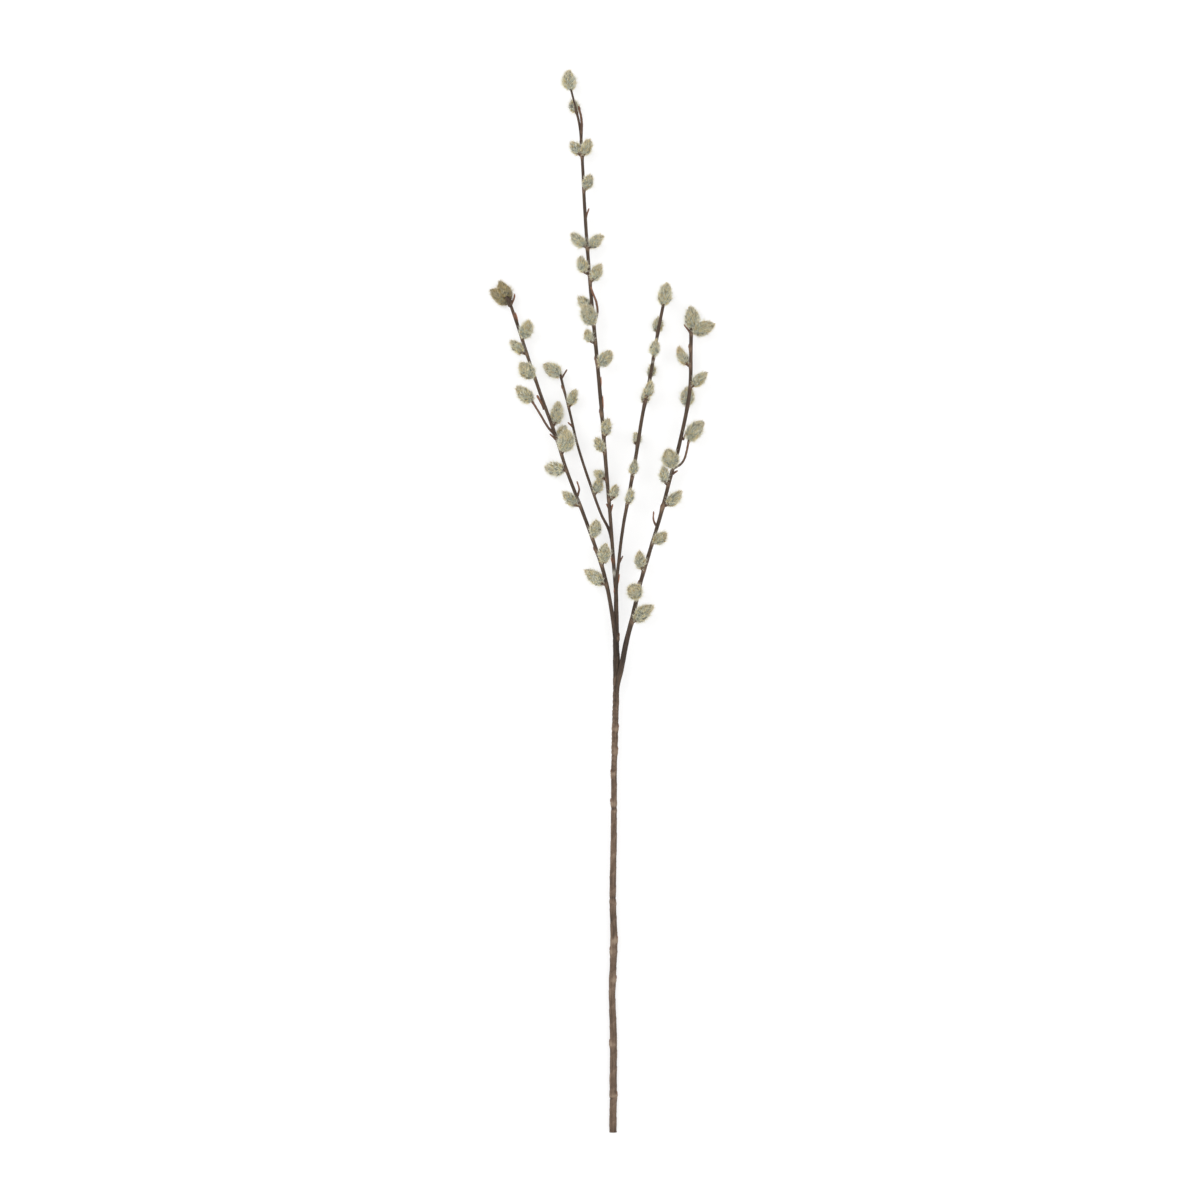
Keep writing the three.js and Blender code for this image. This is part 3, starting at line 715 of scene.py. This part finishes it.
def bud_swelling(run, angle, frames, spots):
    """Swelling of the wood under each nub and bud: a bump centred a little below it, on its side."""
    _, side, up = frames
    swell = np.zeros((len(run), len(angle)))
    for index, outward in spots:
        toward = np.arctan2(up[index] @ outward, side[index] @ outward)
        near = np.exp(-((run - run[index] + 1.2 * MM) / (2.4 * MM)) ** 2)
        swell += near[:, None] * (0.55 + 0.45 * np.cos(angle[None, :] - toward))
    return np.minimum(swell, 1.2)


def spur_end(name):
    """The end of the shoot's long side shoot, which is the first in its list of spurs."""
    return placed(SPURS[name][0])[0][-1]


def grow_nubs(wood, name, line, radius, frames):
    """Adds the nubs of a shoot's catkins; gives the index and direction of each on its side."""
    spots = []
    for node, (base, tip, _) in catkins.items():
        if not node.startswith("catkin_" + name):
            continue
        at_end = np.linalg.norm(base - line[-1]) < END_REACH
        if not at_end and np.linalg.norm(base - spur_end(name)) < END_REACH:
            spur_line, spur_radius, _ = smooth_line(*placed(SPURS[name][0]), SPUR_STEP)
            add_nub(wood, base, tip, spur_line, spur_radius, side_frames(spur_line), True)
            continue
        index, outward = add_nub(wood, base, tip, line, radius, frames, at_end)
        if outward is not None:
            spots.append((index, outward))
    return spots


def grow_wood(name, seed):
    """One shoot with its spurs, buds and nubs, as one surface."""
    line, radius, run = smooth_line(*placed(ROOTS.get(name, []) + ROUTES[name]), TUBE_STEP)
    frames = side_frames(line)
    is_stem = name == "main_stem"
    sides = STEM_SIDES if is_stem else SHOOT_SIDES
    angle = np.linspace(0, 2 * np.pi, sides, endpoint=False)
    wood = Surface()
    spots = grow_nubs(wood, name, line, radius, frames)
    if name == "left_outer_branch":
        for base, tip, _ in twins:
            add_nub(wood, base, tip, line, radius, frames, True)
        add_spur(wood, TWIN_KNOB, seed + 190, tint=0.0)
    for height, roll in BUDS.get(name, []):
        index = int(np.argmin(np.abs(line[:, 1] - CUT_END[1] - height * MM)))
        outward = outward_at(frames, index, roll)
        add_bud(wood, line[index], frames[0][index], outward, radius[index])
        spots.append((index, outward))
    for low, high, roll in FLAKES.get(name, []):
        add_flake(wood, line, radius, frames, low, high, roll)
    for number, route in enumerate(SPURS.get(name, [])):
        add_spur(wood, route, seed + 200 + number, tint=0.75 if number else 0.35)
    wrapped = 1 - soft_step(run, WRAP_TOP, 3 * MM) if is_stem else 0 * run
    change = bark_relief(seed, run, angle, radius, wrapped)
    if is_stem:
        change += ring_relief(run, angle, seed) + scallops(run, angle)
    change += 0.24 * radius[:, None] * bud_swelling(run, angle, frames, spots)
    grid = radius[:, None] + change
    relief = change / (0.12 * radius[:, None])
    cut = 0 * run
    if is_stem:
        line, grid, frames, relief, cut = with_cut_face(line, grid, frames, relief)
    vertices, faces, places = sweep(line, grid, sides, end_dome=0.6, frames=frames)
    level = (line[:, 1] - CUT_END[1]) / MM
    tint = np.repeat(rings_at(level, RED_RINGS.get(name, [])), sides)
    cut = np.maximum(cut, rings_at(level, PALE_RINGS.get(name, [])))
    # painted shade: the bark round the fork is made darker through its relief number
    relief = relief - rings_at(level, FORK_SHADE_RINGS)[:, None]
    age = np.repeat(1 - soft_step(level, 365, 42), sides)
    wood.add(
        vertices, faces, in_strips(places, STRIPS if is_stem else SHORT_STRIPS, SMALL_FROM),
        age=np.append(age, [age[0], age[-1]]), relief=np.append(relief.reshape(-1), [0, 0]),
        tint=np.append(tint, [0, 0]), cut=np.append(np.repeat(cut, sides), [cut[0], 0]),
    )
    return wood


woods = {name: grow_wood(name, 11 * number + 3) for number, name in enumerate(ROUTES)}
print("vertices of wood:", {name: wood.count for name, wood in woods.items()})

# %% [markdown]
# ## The fur
#
# A catkin is a spindle of small scales, each with a tuft of long silky hairs that lean towards the
# tip. Under the hair is a bent egg, a little smaller than the CAD's. A scaled sphere would be alike
# at both ends, so its profile is a formula whose belly sits near the base. The hairs need to know
# which way is outward, tipward and sideways everywhere on it.

# %% The egg under the fur
COAT = 1.33 * MM  # how far the hair stands out from the core
BELLY, FULLNESS = 0.8, 0.72  # below 1, the belly sits nearer to the base, and the ends are blunter


def egg_profile(u):
    """Radius of the egg as a share of its widest: the sine of a bent run, drawn in by a power."""
    return np.sin(np.pi * np.clip(u, 0, 1) ** BELLY) ** FULLNESS


class Egg:
    """The core of a catkin: a bent egg with a place and a direction for every u and angle."""

    def __init__(self, base, tip, width, seed):
        draw = np.random.default_rng(seed)
        self.axis = unit(tip - base)
        self.length = np.linalg.norm(tip - base) - 1.5 * MM
        self.base = base - self.axis * 0.1 * MM
        self.radius = width / 2 - COAT
        reference = np.array([0, 0, 1.0]) if abs(self.axis[2]) < 0.8 else np.array([0, 1.0, 0])
        self.side = unit(np.cross(self.axis, reference))
        self.up = np.cross(self.side, self.axis)
        self.bend = draw.normal(0, 0.035, 2)
        self.squash = 1 + draw.uniform(-0.04, 0.04)
        self.draw = draw

    def at(self, u, angle):
        """Point on the core: along the axis by u, out by the profile, and shifted by the bend."""
        girth = self.radius * egg_profile(u)
        sway = 4 * u * (1 - u) * self.length
        across = girth * np.cos(angle) * self.squash + sway * self.bend[0]
        above = girth * np.sin(angle) / self.squash + sway * self.bend[1]
        return (
            self.base + np.multiply.outer(u * self.length, self.axis)
            + np.multiply.outer(across, self.side) + np.multiply.outer(above, self.up)
        )

    def directions(self, u, angle):
        """Outward, tipward and sideways unit vectors of the surface, from small steps on it."""
        step = 0.01
        low, high = np.clip(u - step, 0.003, 0.997), np.clip(u + step, 0.003, 0.997)
        tipward = unit(self.at(high, angle) - self.at(low, angle))
        sideways = unit(self.at(u, angle + step) - self.at(u, angle - step))
        return unit(np.cross(tipward, sideways)), tipward, sideways


def core_shell(egg, rows=14, columns=16):
    """The closed core, a grid over u and angle with a point at each pole, and u at each vertex."""
    u = (1 - np.cos(np.linspace(0.12, np.pi - 0.12, rows))) / 2
    angle = np.linspace(0, 2 * np.pi, columns, endpoint=False)
    rings = egg.at(np.repeat(u, columns), np.tile(angle, rows))
    poles = egg.at(np.array([0.0, 1.0]), np.zeros(2))
    height = np.append(np.repeat(u, columns), [0, 1])
    return np.vstack([rings, poles]), tube_faces(rows, columns), tube_places(rows, columns), height


egg = Egg(np.zeros(3), np.array([0, 18 * MM, 0]), 12 * MM, seed=1)
print("core of a sample catkin in mm:", round(egg.length / MM, 1), "by", round(2 * egg.radius / MM, 1))

# %% [markdown]
# ## Where hairs stand and how they bend
#
# Fur could be a particle system, but particles are not geometry that can be measured, kept or
# exported, so each hair is built. It stands up from the core at its root and bends down towards the
# tip, so its two halves leave the surface at two angles. Hairs of one tuft lean a little together,
# which leaves small dark gaps between tufts. All hairs of a catkin are worked out at once, as
# arrays with one row per hair.

# %% Tufts and the lines of hairs
HAIR_LENGTH = 2.5 * MM
TUFT_AREA, TUFT_SPREAD = 1.9 * MM * MM, 0.34 * MM  # core that one tuft covers, and how it scatters
HAIRS_IN_TUFT = 20
ROOT_LEAN, END_LEAN = 52, 26  # degrees between the core and the two halves of a hair
STRAY_SHARE = 0.24  # hairs that are longer and finer than the rest and stand off the coat
STRAY_STRETCH, STRAY_FINENESS, STRAY_LIFT = 1.75, 0.66, 20
GOLDEN_ANGLE = np.pi * (3 - np.sqrt(5))


def tuft_places(count):
    """u and angle of tufts: even over the core, a little closer at the base, a golden angle apart."""
    u = np.linspace(0.005, 0.995, 400)
    area = np.cumsum((egg_profile(u) + 0.04) * (1 + 0.5 * np.exp(-u / 0.25)))
    share = (np.arange(count) + 0.5) / count
    return np.interp(share, area / area[-1], u), np.arange(count) * GOLDEN_ANGLE


def hair_directions(egg, u, angle, lean, swing):
    """Directions that leave the surface by the angle lean, turned sideways by swing."""
    out, tipward, sideways = egg.directions(u, angle)
    return unit(
        out * np.sin(lean)[:, None] + tipward * (np.cos(lean) * np.cos(swing))[:, None]
        + sideways * (np.cos(lean) * np.sin(swing))[:, None]
    )


def hair_lines(egg, tuft_u, tuft_angle):
    """For every hair: its place u, whether it is a stray, its first direction, root, bend and end.

    The bend is the root plus half the length along the first direction, and the end is the bend
    plus half the length along the second. Hairs at the base stand out and even lean back, so they
    cover the cup.
    """
    draw, tufts = egg.draw, len(tuft_u)
    count = tufts * HAIRS_IN_TUFT
    own = np.repeat(np.arange(tufts), HAIRS_IN_TUFT)
    off_along, off_around = draw.normal(0, TUFT_SPREAD, (2, count))
    u = np.clip(tuft_u[own] + off_along / egg.length, 0.008, 0.988)
    girth = egg.radius * np.maximum(egg_profile(tuft_u[own]), 0.12)
    angle = tuft_angle[own] + off_around / girth
    fullness = 0.66 + 0.34 * np.sin(np.pi * np.clip(u, 0.0, 1) ** 0.6)
    stray = draw.random(count) < STRAY_SHARE
    length = HAIR_LENGTH * fullness * draw.normal(1, 0.16, count).clip(0.5, 1.4)
    length *= draw.normal(1, 0.2, tufts).clip(0.6, 1.5)[own] * np.where(stray, STRAY_STRETCH, 1)
    gather = -0.28 * np.clip(off_around / TUFT_SPREAD, -1.5, 1.5)
    swing = draw.normal(0, 0.22, tufts)[own] + gather + draw.normal(0, 0.16, count)
    at_base = np.exp(-u / 0.06)
    tuft_lean = draw.normal(0, 9, tufts)[own]
    lean_low = draw.normal(ROOT_LEAN, 8, count) + tuft_lean + 34 * at_base
    lean_high = draw.normal(END_LEAN, 8, count) + tuft_lean + 44 * at_base + STRAY_LIFT * stray
    first = hair_directions(egg, u, angle, np.radians(lean_low), swing)
    second = hair_directions(egg, u, angle, np.radians(lean_high), swing * 1.3)
    root = egg.at(u, angle) - first * 0.25 * MM
    bend = root + first * (0.5 * length)[:, None]
    return u, stray, first, root, bend, bend + second * (0.5 * length)[:, None]


egg = Egg(np.zeros(3), np.array([0, 18 * MM, 0]), 12 * MM, seed=1)
trial = hair_lines(egg, *tuft_places(100))
print("100 tufts make", len(trial[0]), "hairs,", int(trial[1].sum()), "of them strays")

# %% [markdown]
# ## Hairs as one mesh
#
# A hair could be a flat ribbon, but a ribbon vanishes when it is seen on edge. Here it is a closed
# three-sided spindle, and the spindles of one catkin are one mesh. Each vertex knows how far along
# the hair it is, and all hairs of a tuft share a tone, which drifts from patch to patch.

# %% Hairs of one catkin
HAIR_WIDTH = 0.17 * MM
PATCH_SIZE = 3.4 * MM  # tufts of about this neighbourhood share a tone
CORE_BAND = 0.95  # on the flat sheet, hairs lie below this and the core above it


def hairs(egg):
    """Vertices, faces, places and numbers of all hairs of one catkin.

    A hair has one point at its root, a ring of three round its bend and one at its end. The ring is
    the bend plus two directions square to the hair, times the cosine and sine of thirds of a turn.
    """
    draw = egg.draw
    surface = 2 * np.pi * egg.radius * egg.length * 0.78
    tufts = max(70, int(surface / TUFT_AREA))
    tuft_u, tuft_angle = tuft_places(tufts)
    u, stray, first, root, bend, end = hair_lines(egg, tuft_u, tuft_angle)
    count = len(u)
    width = HAIR_WIDTH * draw.uniform(0.75, 1.2, count) * np.where(stray, STRAY_FINENESS, 1)
    across = unit(np.cross(first, egg.axis + 0.3 * egg.side))
    above = np.cross(first, across)
    third = np.arange(3) * 2 * np.pi / 3
    ring = across[:, None] * np.cos(third)[:, None] + above[:, None] * np.sin(third)[:, None]
    ring = bend[:, None] + ring * (0.5 * width)[:, None, None]
    vertices = np.concatenate([root[:, None], ring, end[:, None]], axis=1).reshape(-1, 3)
    start = np.arange(count)[:, None, None] * 5
    spindle = np.array([[0, 2, 1], [0, 3, 2], [0, 1, 3], [1, 2, 4], [2, 3, 4], [3, 1, 4]])
    patch = ripples(int(draw.integers(10000)), list(egg.at(tuft_u, tuft_angle).T / PATCH_SIZE))
    tone = np.repeat(draw.normal(0, 1.05, tufts) + 0.9 * patch, HAIRS_IN_TUFT)
    tone += draw.normal(0, 0.3, count)
    numbers = {
        "along": np.tile([0, 0.5, 0.5, 0.5, 1.0], count),
        "tone": np.repeat(np.where(stray, 0.0, tone), 5),
        "height": np.repeat(u, 5),
    }
    return vertices, [(start + spindle).reshape(-1, 3)], [hair_places(count)], numbers


def hair_places(count):
    """Where hairs go on a flat unit square: each has a cell, and its three sides share one kite."""
    columns = int(np.ceil(np.sqrt(2 * count)))
    rows = -(-count // columns)
    root, left, right, end = (0.5, 0.03), (0.04, 0.5), (0.96, 0.5), (0.5, 0.97)
    kite = np.array([[root, right, left]] * 3 + [[left, right, end]] * 3)
    cell = np.arange(count)
    corner = np.stack([cell % columns, cell // columns], -1)[:, None, None]
    return ((corner + kite) / np.array([columns, rows])).reshape(-1, 3, 2)


def furry(name, eggs, gold, dusk, seed):
    """A catkin, or a pair of them, as one object: core and hairs, with numbers for the material.

    On the flat sheet the eggs stand side by side, each with its hairs below and its core above.
    """
    fur = Surface()
    share = 1 / len(eggs)
    for number, (base, tip, width) in enumerate(eggs):
        egg = Egg(base, tip, width, seed + 1000 * number)
        vertices, faces, places, height = core_shell(egg)
        places = boxed(places, number * share, CORE_BAND, share, 1 - CORE_BAND)
        fur.add(vertices, faces, places, along=-1.0, tone=0.0, gold=gold, dusk=dusk, height=height)
        vertices, faces, places, numbers = hairs(egg)
        places = boxed(places, number * share, 0, share, 0.99 * CORE_BAND)
        fur.add(vertices, faces, places, gold=gold, dusk=dusk, **numbers)
    return fur.build(name)


print("hairs on the sample catkin:", len(hairs(egg)[0]) // 5)

# %% [markdown]
# ## Shader maths as Python
#
# Materials are networks of nodes. Written out node by node they are long and hard to read, so one
# small class wraps an output socket: adding or multiplying two of them adds the Math node. A second
# class wraps the tree, and one method of it makes any other node.

# %% A wrapped socket and a node tree
class Value:
    """A number from a node's socket. Operators add Math nodes to the same tree."""

    def __init__(self, tree, socket):
        self.tree, self.socket = tree, socket

    def _math(self, operation, first, second):
        return self.tree.node("ShaderNodeMath", {"operation": operation}, {0: first, 1: second})

    def __add__(self, other):
        return self._math("ADD", self, other)

    def __sub__(self, other):
        return self._math("SUBTRACT", self, other)

    def __rsub__(self, other):
        return self._math("SUBTRACT", other, self)

    def __mul__(self, other):
        return self._math("MULTIPLY", self, other)

    __radd__, __rmul__ = __add__, __mul__

    def clamp(self):
        """The value kept between 0 and 1."""
        return self.tree.node("ShaderNodeClamp", {}, {0: self})


class Tree:
    """The node tree of one material."""

    def __init__(self, name):
        self.material = bpy.data.materials.new(name)
        self.material.use_nodes = True
        self.nodes, self.links = self.material.node_tree.nodes, self.material.node_tree.links
        self.shader = self.nodes["Principled BSDF"]

    def node(self, kind, settings=None, sockets=None, out=0):
        """Adds a node: its settings first, then the values or links of its sockets."""
        made = self.nodes.new(kind)
        for name, value in (settings or {}).items():
            if name == "stops":
                self._set_stops(made.color_ramp, value)
            else:
                setattr(made, name, value)
        for key, value in (sockets or {}).items():
            self.set(made.inputs[key], value)
        return Value(self, made.outputs[out])

    def set(self, socket, value):
        """Links a wrapped socket, or stores a plain value."""
        if isinstance(value, Value):
            self.links.new(value.socket, socket)
        else:
            socket.default_value = value

    @staticmethod
    def _set_stops(ramp, stops):
        """Places the colours of a ramp, from a list of position and colour."""
        while len(ramp.elements) < len(stops):
            ramp.elements.new(1.0)
        for element, (position, colour) in zip(ramp.elements, stops):
            element.position, element.color = position, colour

    def finish(self, **values):
        """Sets inputs of the surface shader, named with _ for a space, and gives the material."""
        for name, value in values.items():
            self.set(self.shader.inputs[name.replace("_", " ")], value)
        return self.material

    def number(self, name):
        """A value that the mesh stores on its points."""
        return self.node("ShaderNodeAttribute", {"attribute_name": name}, out="Fac")

    def noise(self, scale, stretch=(1, 1, 1), detail=3.0):
        """Noise on object coordinates, in bumps of 1/scale metres; stretch scales each axis."""
        place = self.node("ShaderNodeTexCoord", out="Object")
        turned = self.node("ShaderNodeMapping", {}, {"Vector": place, "Scale": stretch})
        return self.node("ShaderNodeTexNoise", {}, {"Vector": turned, "Scale": scale, "Detail": detail})

    def ramp(self, value, stops):
        """A colour for a value, read from colour stops."""
        return self.node("ShaderNodeValToRGB", {"stops": stops}, {"Fac": value})

    def mix(self, share, first, second, how="MIX"):
        """Colour between first, at share 0, and second, or what second makes of first, at share 1."""
        settings = {"data_type": "RGBA", "blend_type": how}
        return self.node("ShaderNodeMix", settings, {0: share, 6: first, 7: second}, out=2)


def srgb(red, green, blue):
    """A colour given as it looks on a screen, 0 to 255, as the linear light that shaders use."""
    share = np.array([red, green, blue]) / 255
    linear = np.where(share <= 0.04045, share / 12.92, ((share + 0.055) / 1.055) ** 2.4)
    return (*linear.tolist(), 1.0)

# %% [markdown]
# ## Bark finish
#
# The bark is matt. Young shoots are dark brown, and the old stem is a greyer, lighter brown, with
# fine streaks along the grain. Grooves are darker and high ridges paler, the fork has painted
# shade, and buds and bare spurs are reddish. One picture of bark wrapped round would stretch and
# repeat, so the mesh carries those facts as numbers on its points: age, relief, tint, and cut for
# the cut face and pale fuzz. A streak is noise that is stretched along the twig.

# %% Bark material
def bark_material():
    """Matt bark whose colour follows age, relief, tint and fine streaks."""
    tree = Tree("willow_bark")
    age, relief = tree.number("age"), tree.number("relief")
    tint, cut = tree.number("tint"), tree.number("cut")
    streak = tree.noise(1500, (1, 0.10, 1), 4)
    patch = tree.noise(90, (1, 0.35, 1), 2)
    fleck = tree.noise(2600, (1, 0.6, 1), 2)
    # relief makes grooves darker and ridges paler, and carries the painted shade of the fork
    level = (streak * 0.55 + patch * 0.30 + fleck * 0.15 + relief * 0.22 - 0.04).clamp()
    young = tree.ramp(level, [
        (0.25, srgb(47, 36, 27)), (0.47, srgb(74, 58, 45)), (0.62, srgb(95, 76, 61)),
        (0.85, srgb(122, 100, 81)),
    ])
    old = tree.ramp(level, [
        (0.22, srgb(67, 53, 41)), (0.45, srgb(98, 79, 63)), (0.62, srgb(119, 99, 82)),
        (0.85, srgb(142, 123, 104)),
    ])
    colour = tree.mix(age, young, old)
    colour = tree.mix((tint * 0.8).clamp(), colour, srgb(160, 110, 84))
    colour = tree.mix(cut, colour, srgb(176, 171, 160))
    bump = {"Strength": 0.5, "Distance": 0.1 * MM, "Height": streak + fleck * 0.4}
    rise = tree.node("ShaderNodeBump", {}, bump, out="Normal")
    return tree.finish(Base_Color=colour, Roughness=0.82, Normal=rise)


bark = bark_material()
print("bark nodes:", len(bark.node_tree.nodes))

# %% [markdown]
# ## Fur finish
#
# A hair is blue-grey at its root and cream at its end, so the middle of a catkin, where the eye
# looks down between the hairs, is darker and cooler than its edge. Hair could be shaded with a hair
# shader, but the tone is simpler to steer with two ramps: one along the hair, and one that differs
# from tuft to tuft, from dark grey through cream to gold. Tips are more golden, and old catkins are
# dusky, most of all at the foot.

# %% Fur material
def fur_material():
    """Soft matt hair whose colour runs from root to end, with tufts that differ."""
    tree = Tree("catkin_fur")
    along, tone = tree.number("along"), tree.number("tone")
    gold, dusk, height = tree.number("gold"), tree.number("dusk"), tree.number("height")
    hair = tree.ramp((along * 0.5 + 0.5).clamp(), [
        (0.0, srgb(168, 177, 171)), (0.5, srgb(243, 244, 234)), (0.75, srgb(255, 254, 246)),
        (1.0, srgb(255, 253, 240)),
    ])
    tuft = tree.ramp((tone * 0.25 + 0.5).clamp(), [
        (0.08, srgb(78, 86, 78)), (0.28, srgb(217, 226, 220)), (0.5, srgb(255, 254, 243)),
        (0.70, srgb(255, 240, 174)), (0.94, srgb(190, 160, 76)),
    ])
    colour = tree.mix(1.0, hair, tuft, "MULTIPLY")
    tip = ((height - 0.5) * 2.0).clamp()
    colour = tree.mix((gold * (tip * 0.8 + 0.2)).clamp(), colour, srgb(214, 186, 124))
    colour = tree.mix(dusk, colour, srgb(202, 186, 146), "MULTIPLY")
    foot = (1.0 - height * 3.5).clamp() * dusk * dusk
    colour = tree.mix(foot, colour, srgb(120, 100, 76), "MULTIPLY")
    return tree.finish(Base_Color=colour, Roughness=0.75, Sheen_Weight=0.45)


fur_finish = fur_material()
print("fur nodes:", len(fur_finish.node_tree.nodes))

# %% [markdown]
# ## Putting the pieces on the frame
#
# Every piece takes the place of its CAD node, which is hidden, gets its material, and rides with
# the one body of this rigid object.

# %% Wood pieces
def settle(piece, node, material):
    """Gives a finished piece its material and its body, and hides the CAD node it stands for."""
    piece.data.materials.append(material)
    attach(piece, "root")
    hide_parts(node)


for name, wood in woods.items():
    settle(wood.build("bark_" + name), name, bark)
print("wood pieces:", len(woods))

# %% [markdown]
# ## Coats for all catkins
#
# One coat could be copied to every catkin, but neighbours with the same hairs look stamped. Each is
# grown from its own seed on its own egg, with its own share of gold, which colours the outer half,
# and of dusk, which darkens the whole coat. The twins are the oldest and darkest.

# %% Furry catkins
GOLDEN = {"catkin_right_outer_branch_10": 0.9, "catkin_right_outer_branch_03": 0.6}
COMMON_GOLD = 0.42
PALE = ("catkin_left_outer_branch_11", "catkin_left_outer_branch_09", "catkin_main_stem_07")
dusks = np.random.default_rng(5).uniform(0.0, 0.12, len(catkins))
face_total = 0
for number, (node, egg_facts) in enumerate(catkins.items()):
    gold, dusk = GOLDEN.get(node, COMMON_GOLD), 0.0 if node in PALE else dusks[number]
    piece = furry(node.replace("catkin", "furry_catkin"), [egg_facts], gold, dusk, 500 + number)
    settle(piece, node, fur_finish)
    face_total += len(piece.data.polygons)
piece = furry("furry_catkin_twins", twins, COMMON_GOLD, 0.8, 900)
settle(piece, TWINS, fur_finish)
print("faces of fur in all:", face_total + len(piece.data.polygons))

# %% [markdown]
# ## The table
#
# A twig with no vase lies down, so it gets a table. A white floor lit only by lamps would fall off
# towards its edges, so the table is a mid grey that also glows a little and stays even.

# %% Table
TABLE_SIDE = 8.0
bpy.ops.mesh.primitive_plane_add(size=TABLE_SIDE, location=(0, 0, -0.5 * MM))
table = bpy.context.object
table.name = "table"
grey, white = (0.4, 0.4, 0.4, 1), (1, 1, 1, 1)
paper = Tree("pale_table").finish(
    Base_Color=grey, Roughness=0.9, Emission_Color=white, Emission_Strength=0.62)
table.data.materials.append(paper)
print("table side in metres:", TABLE_SIDE)

# %% [markdown]
# ## The light
#
# Fine fur needs soft light from all sides, or it breaks up into glints. A pale sky does most of the
# work, and three large lamps add a little direction, so shadows are faint.

# %% Light
world = bpy.data.worlds.new("pale_sky")
bpy.context.scene.world = world
world.use_nodes = True
world.node_tree.nodes["Background"].inputs["Color"].default_value = (1, 1, 1, 1)
world.node_tree.nodes["Background"].inputs["Strength"].default_value = 0.8


def soft_lamp(name, place, size, watts):
    """A large square lamp that shines at the middle of the twig."""
    lamp = bpy.data.objects.new(name, bpy.data.lights.new(name, "AREA"))
    lamp.data.size, lamp.data.energy = size, watts
    lamp.location = place
    direction = np.array(place)
    lamp.rotation_euler = Vector((-direction).tolist()).to_track_quat("-Z", "Y").to_euler()
    bpy.context.scene.collection.objects.link(lamp)


soft_lamp("key_lamp", (-1.3, 1.0, 2.2), 1.6, 21)
soft_lamp("fill_lamp", (1.6, -0.2, 2.0), 1.8, 12)
soft_lamp("end_lamp", (0.2, -2.0, 1.4), 1.5, 9)

# %% [markdown]
# ## The camera
#
# The twig lies flat, so the camera looks straight down on it, through a long lens and from far
# enough away that nothing is distorted.

# %% Camera
FRAME_WIDTH = 1.017  # metres seen across the picture
LENS, SENSOR = 150, 36
VIEW_LEFT, VIEW_UP = 11.0 * MM, 450.9 * MM  # from the cut end to the middle of the picture
camera = bpy.data.objects.new("camera", bpy.data.cameras.new("camera"))
camera.data.lens, camera.data.sensor_width = LENS, SENSOR
camera.location = (CUT_END[0] - VIEW_LEFT, CUT_END[1] + VIEW_UP, FRAME_WIDTH * LENS / SENSOR)
bpy.context.scene.collection.objects.link(camera)
bpy.context.scene.camera = camera
bpy.context.scene.view_settings.view_transform = "Standard"
print("camera height:", round(camera.location.z, 2))
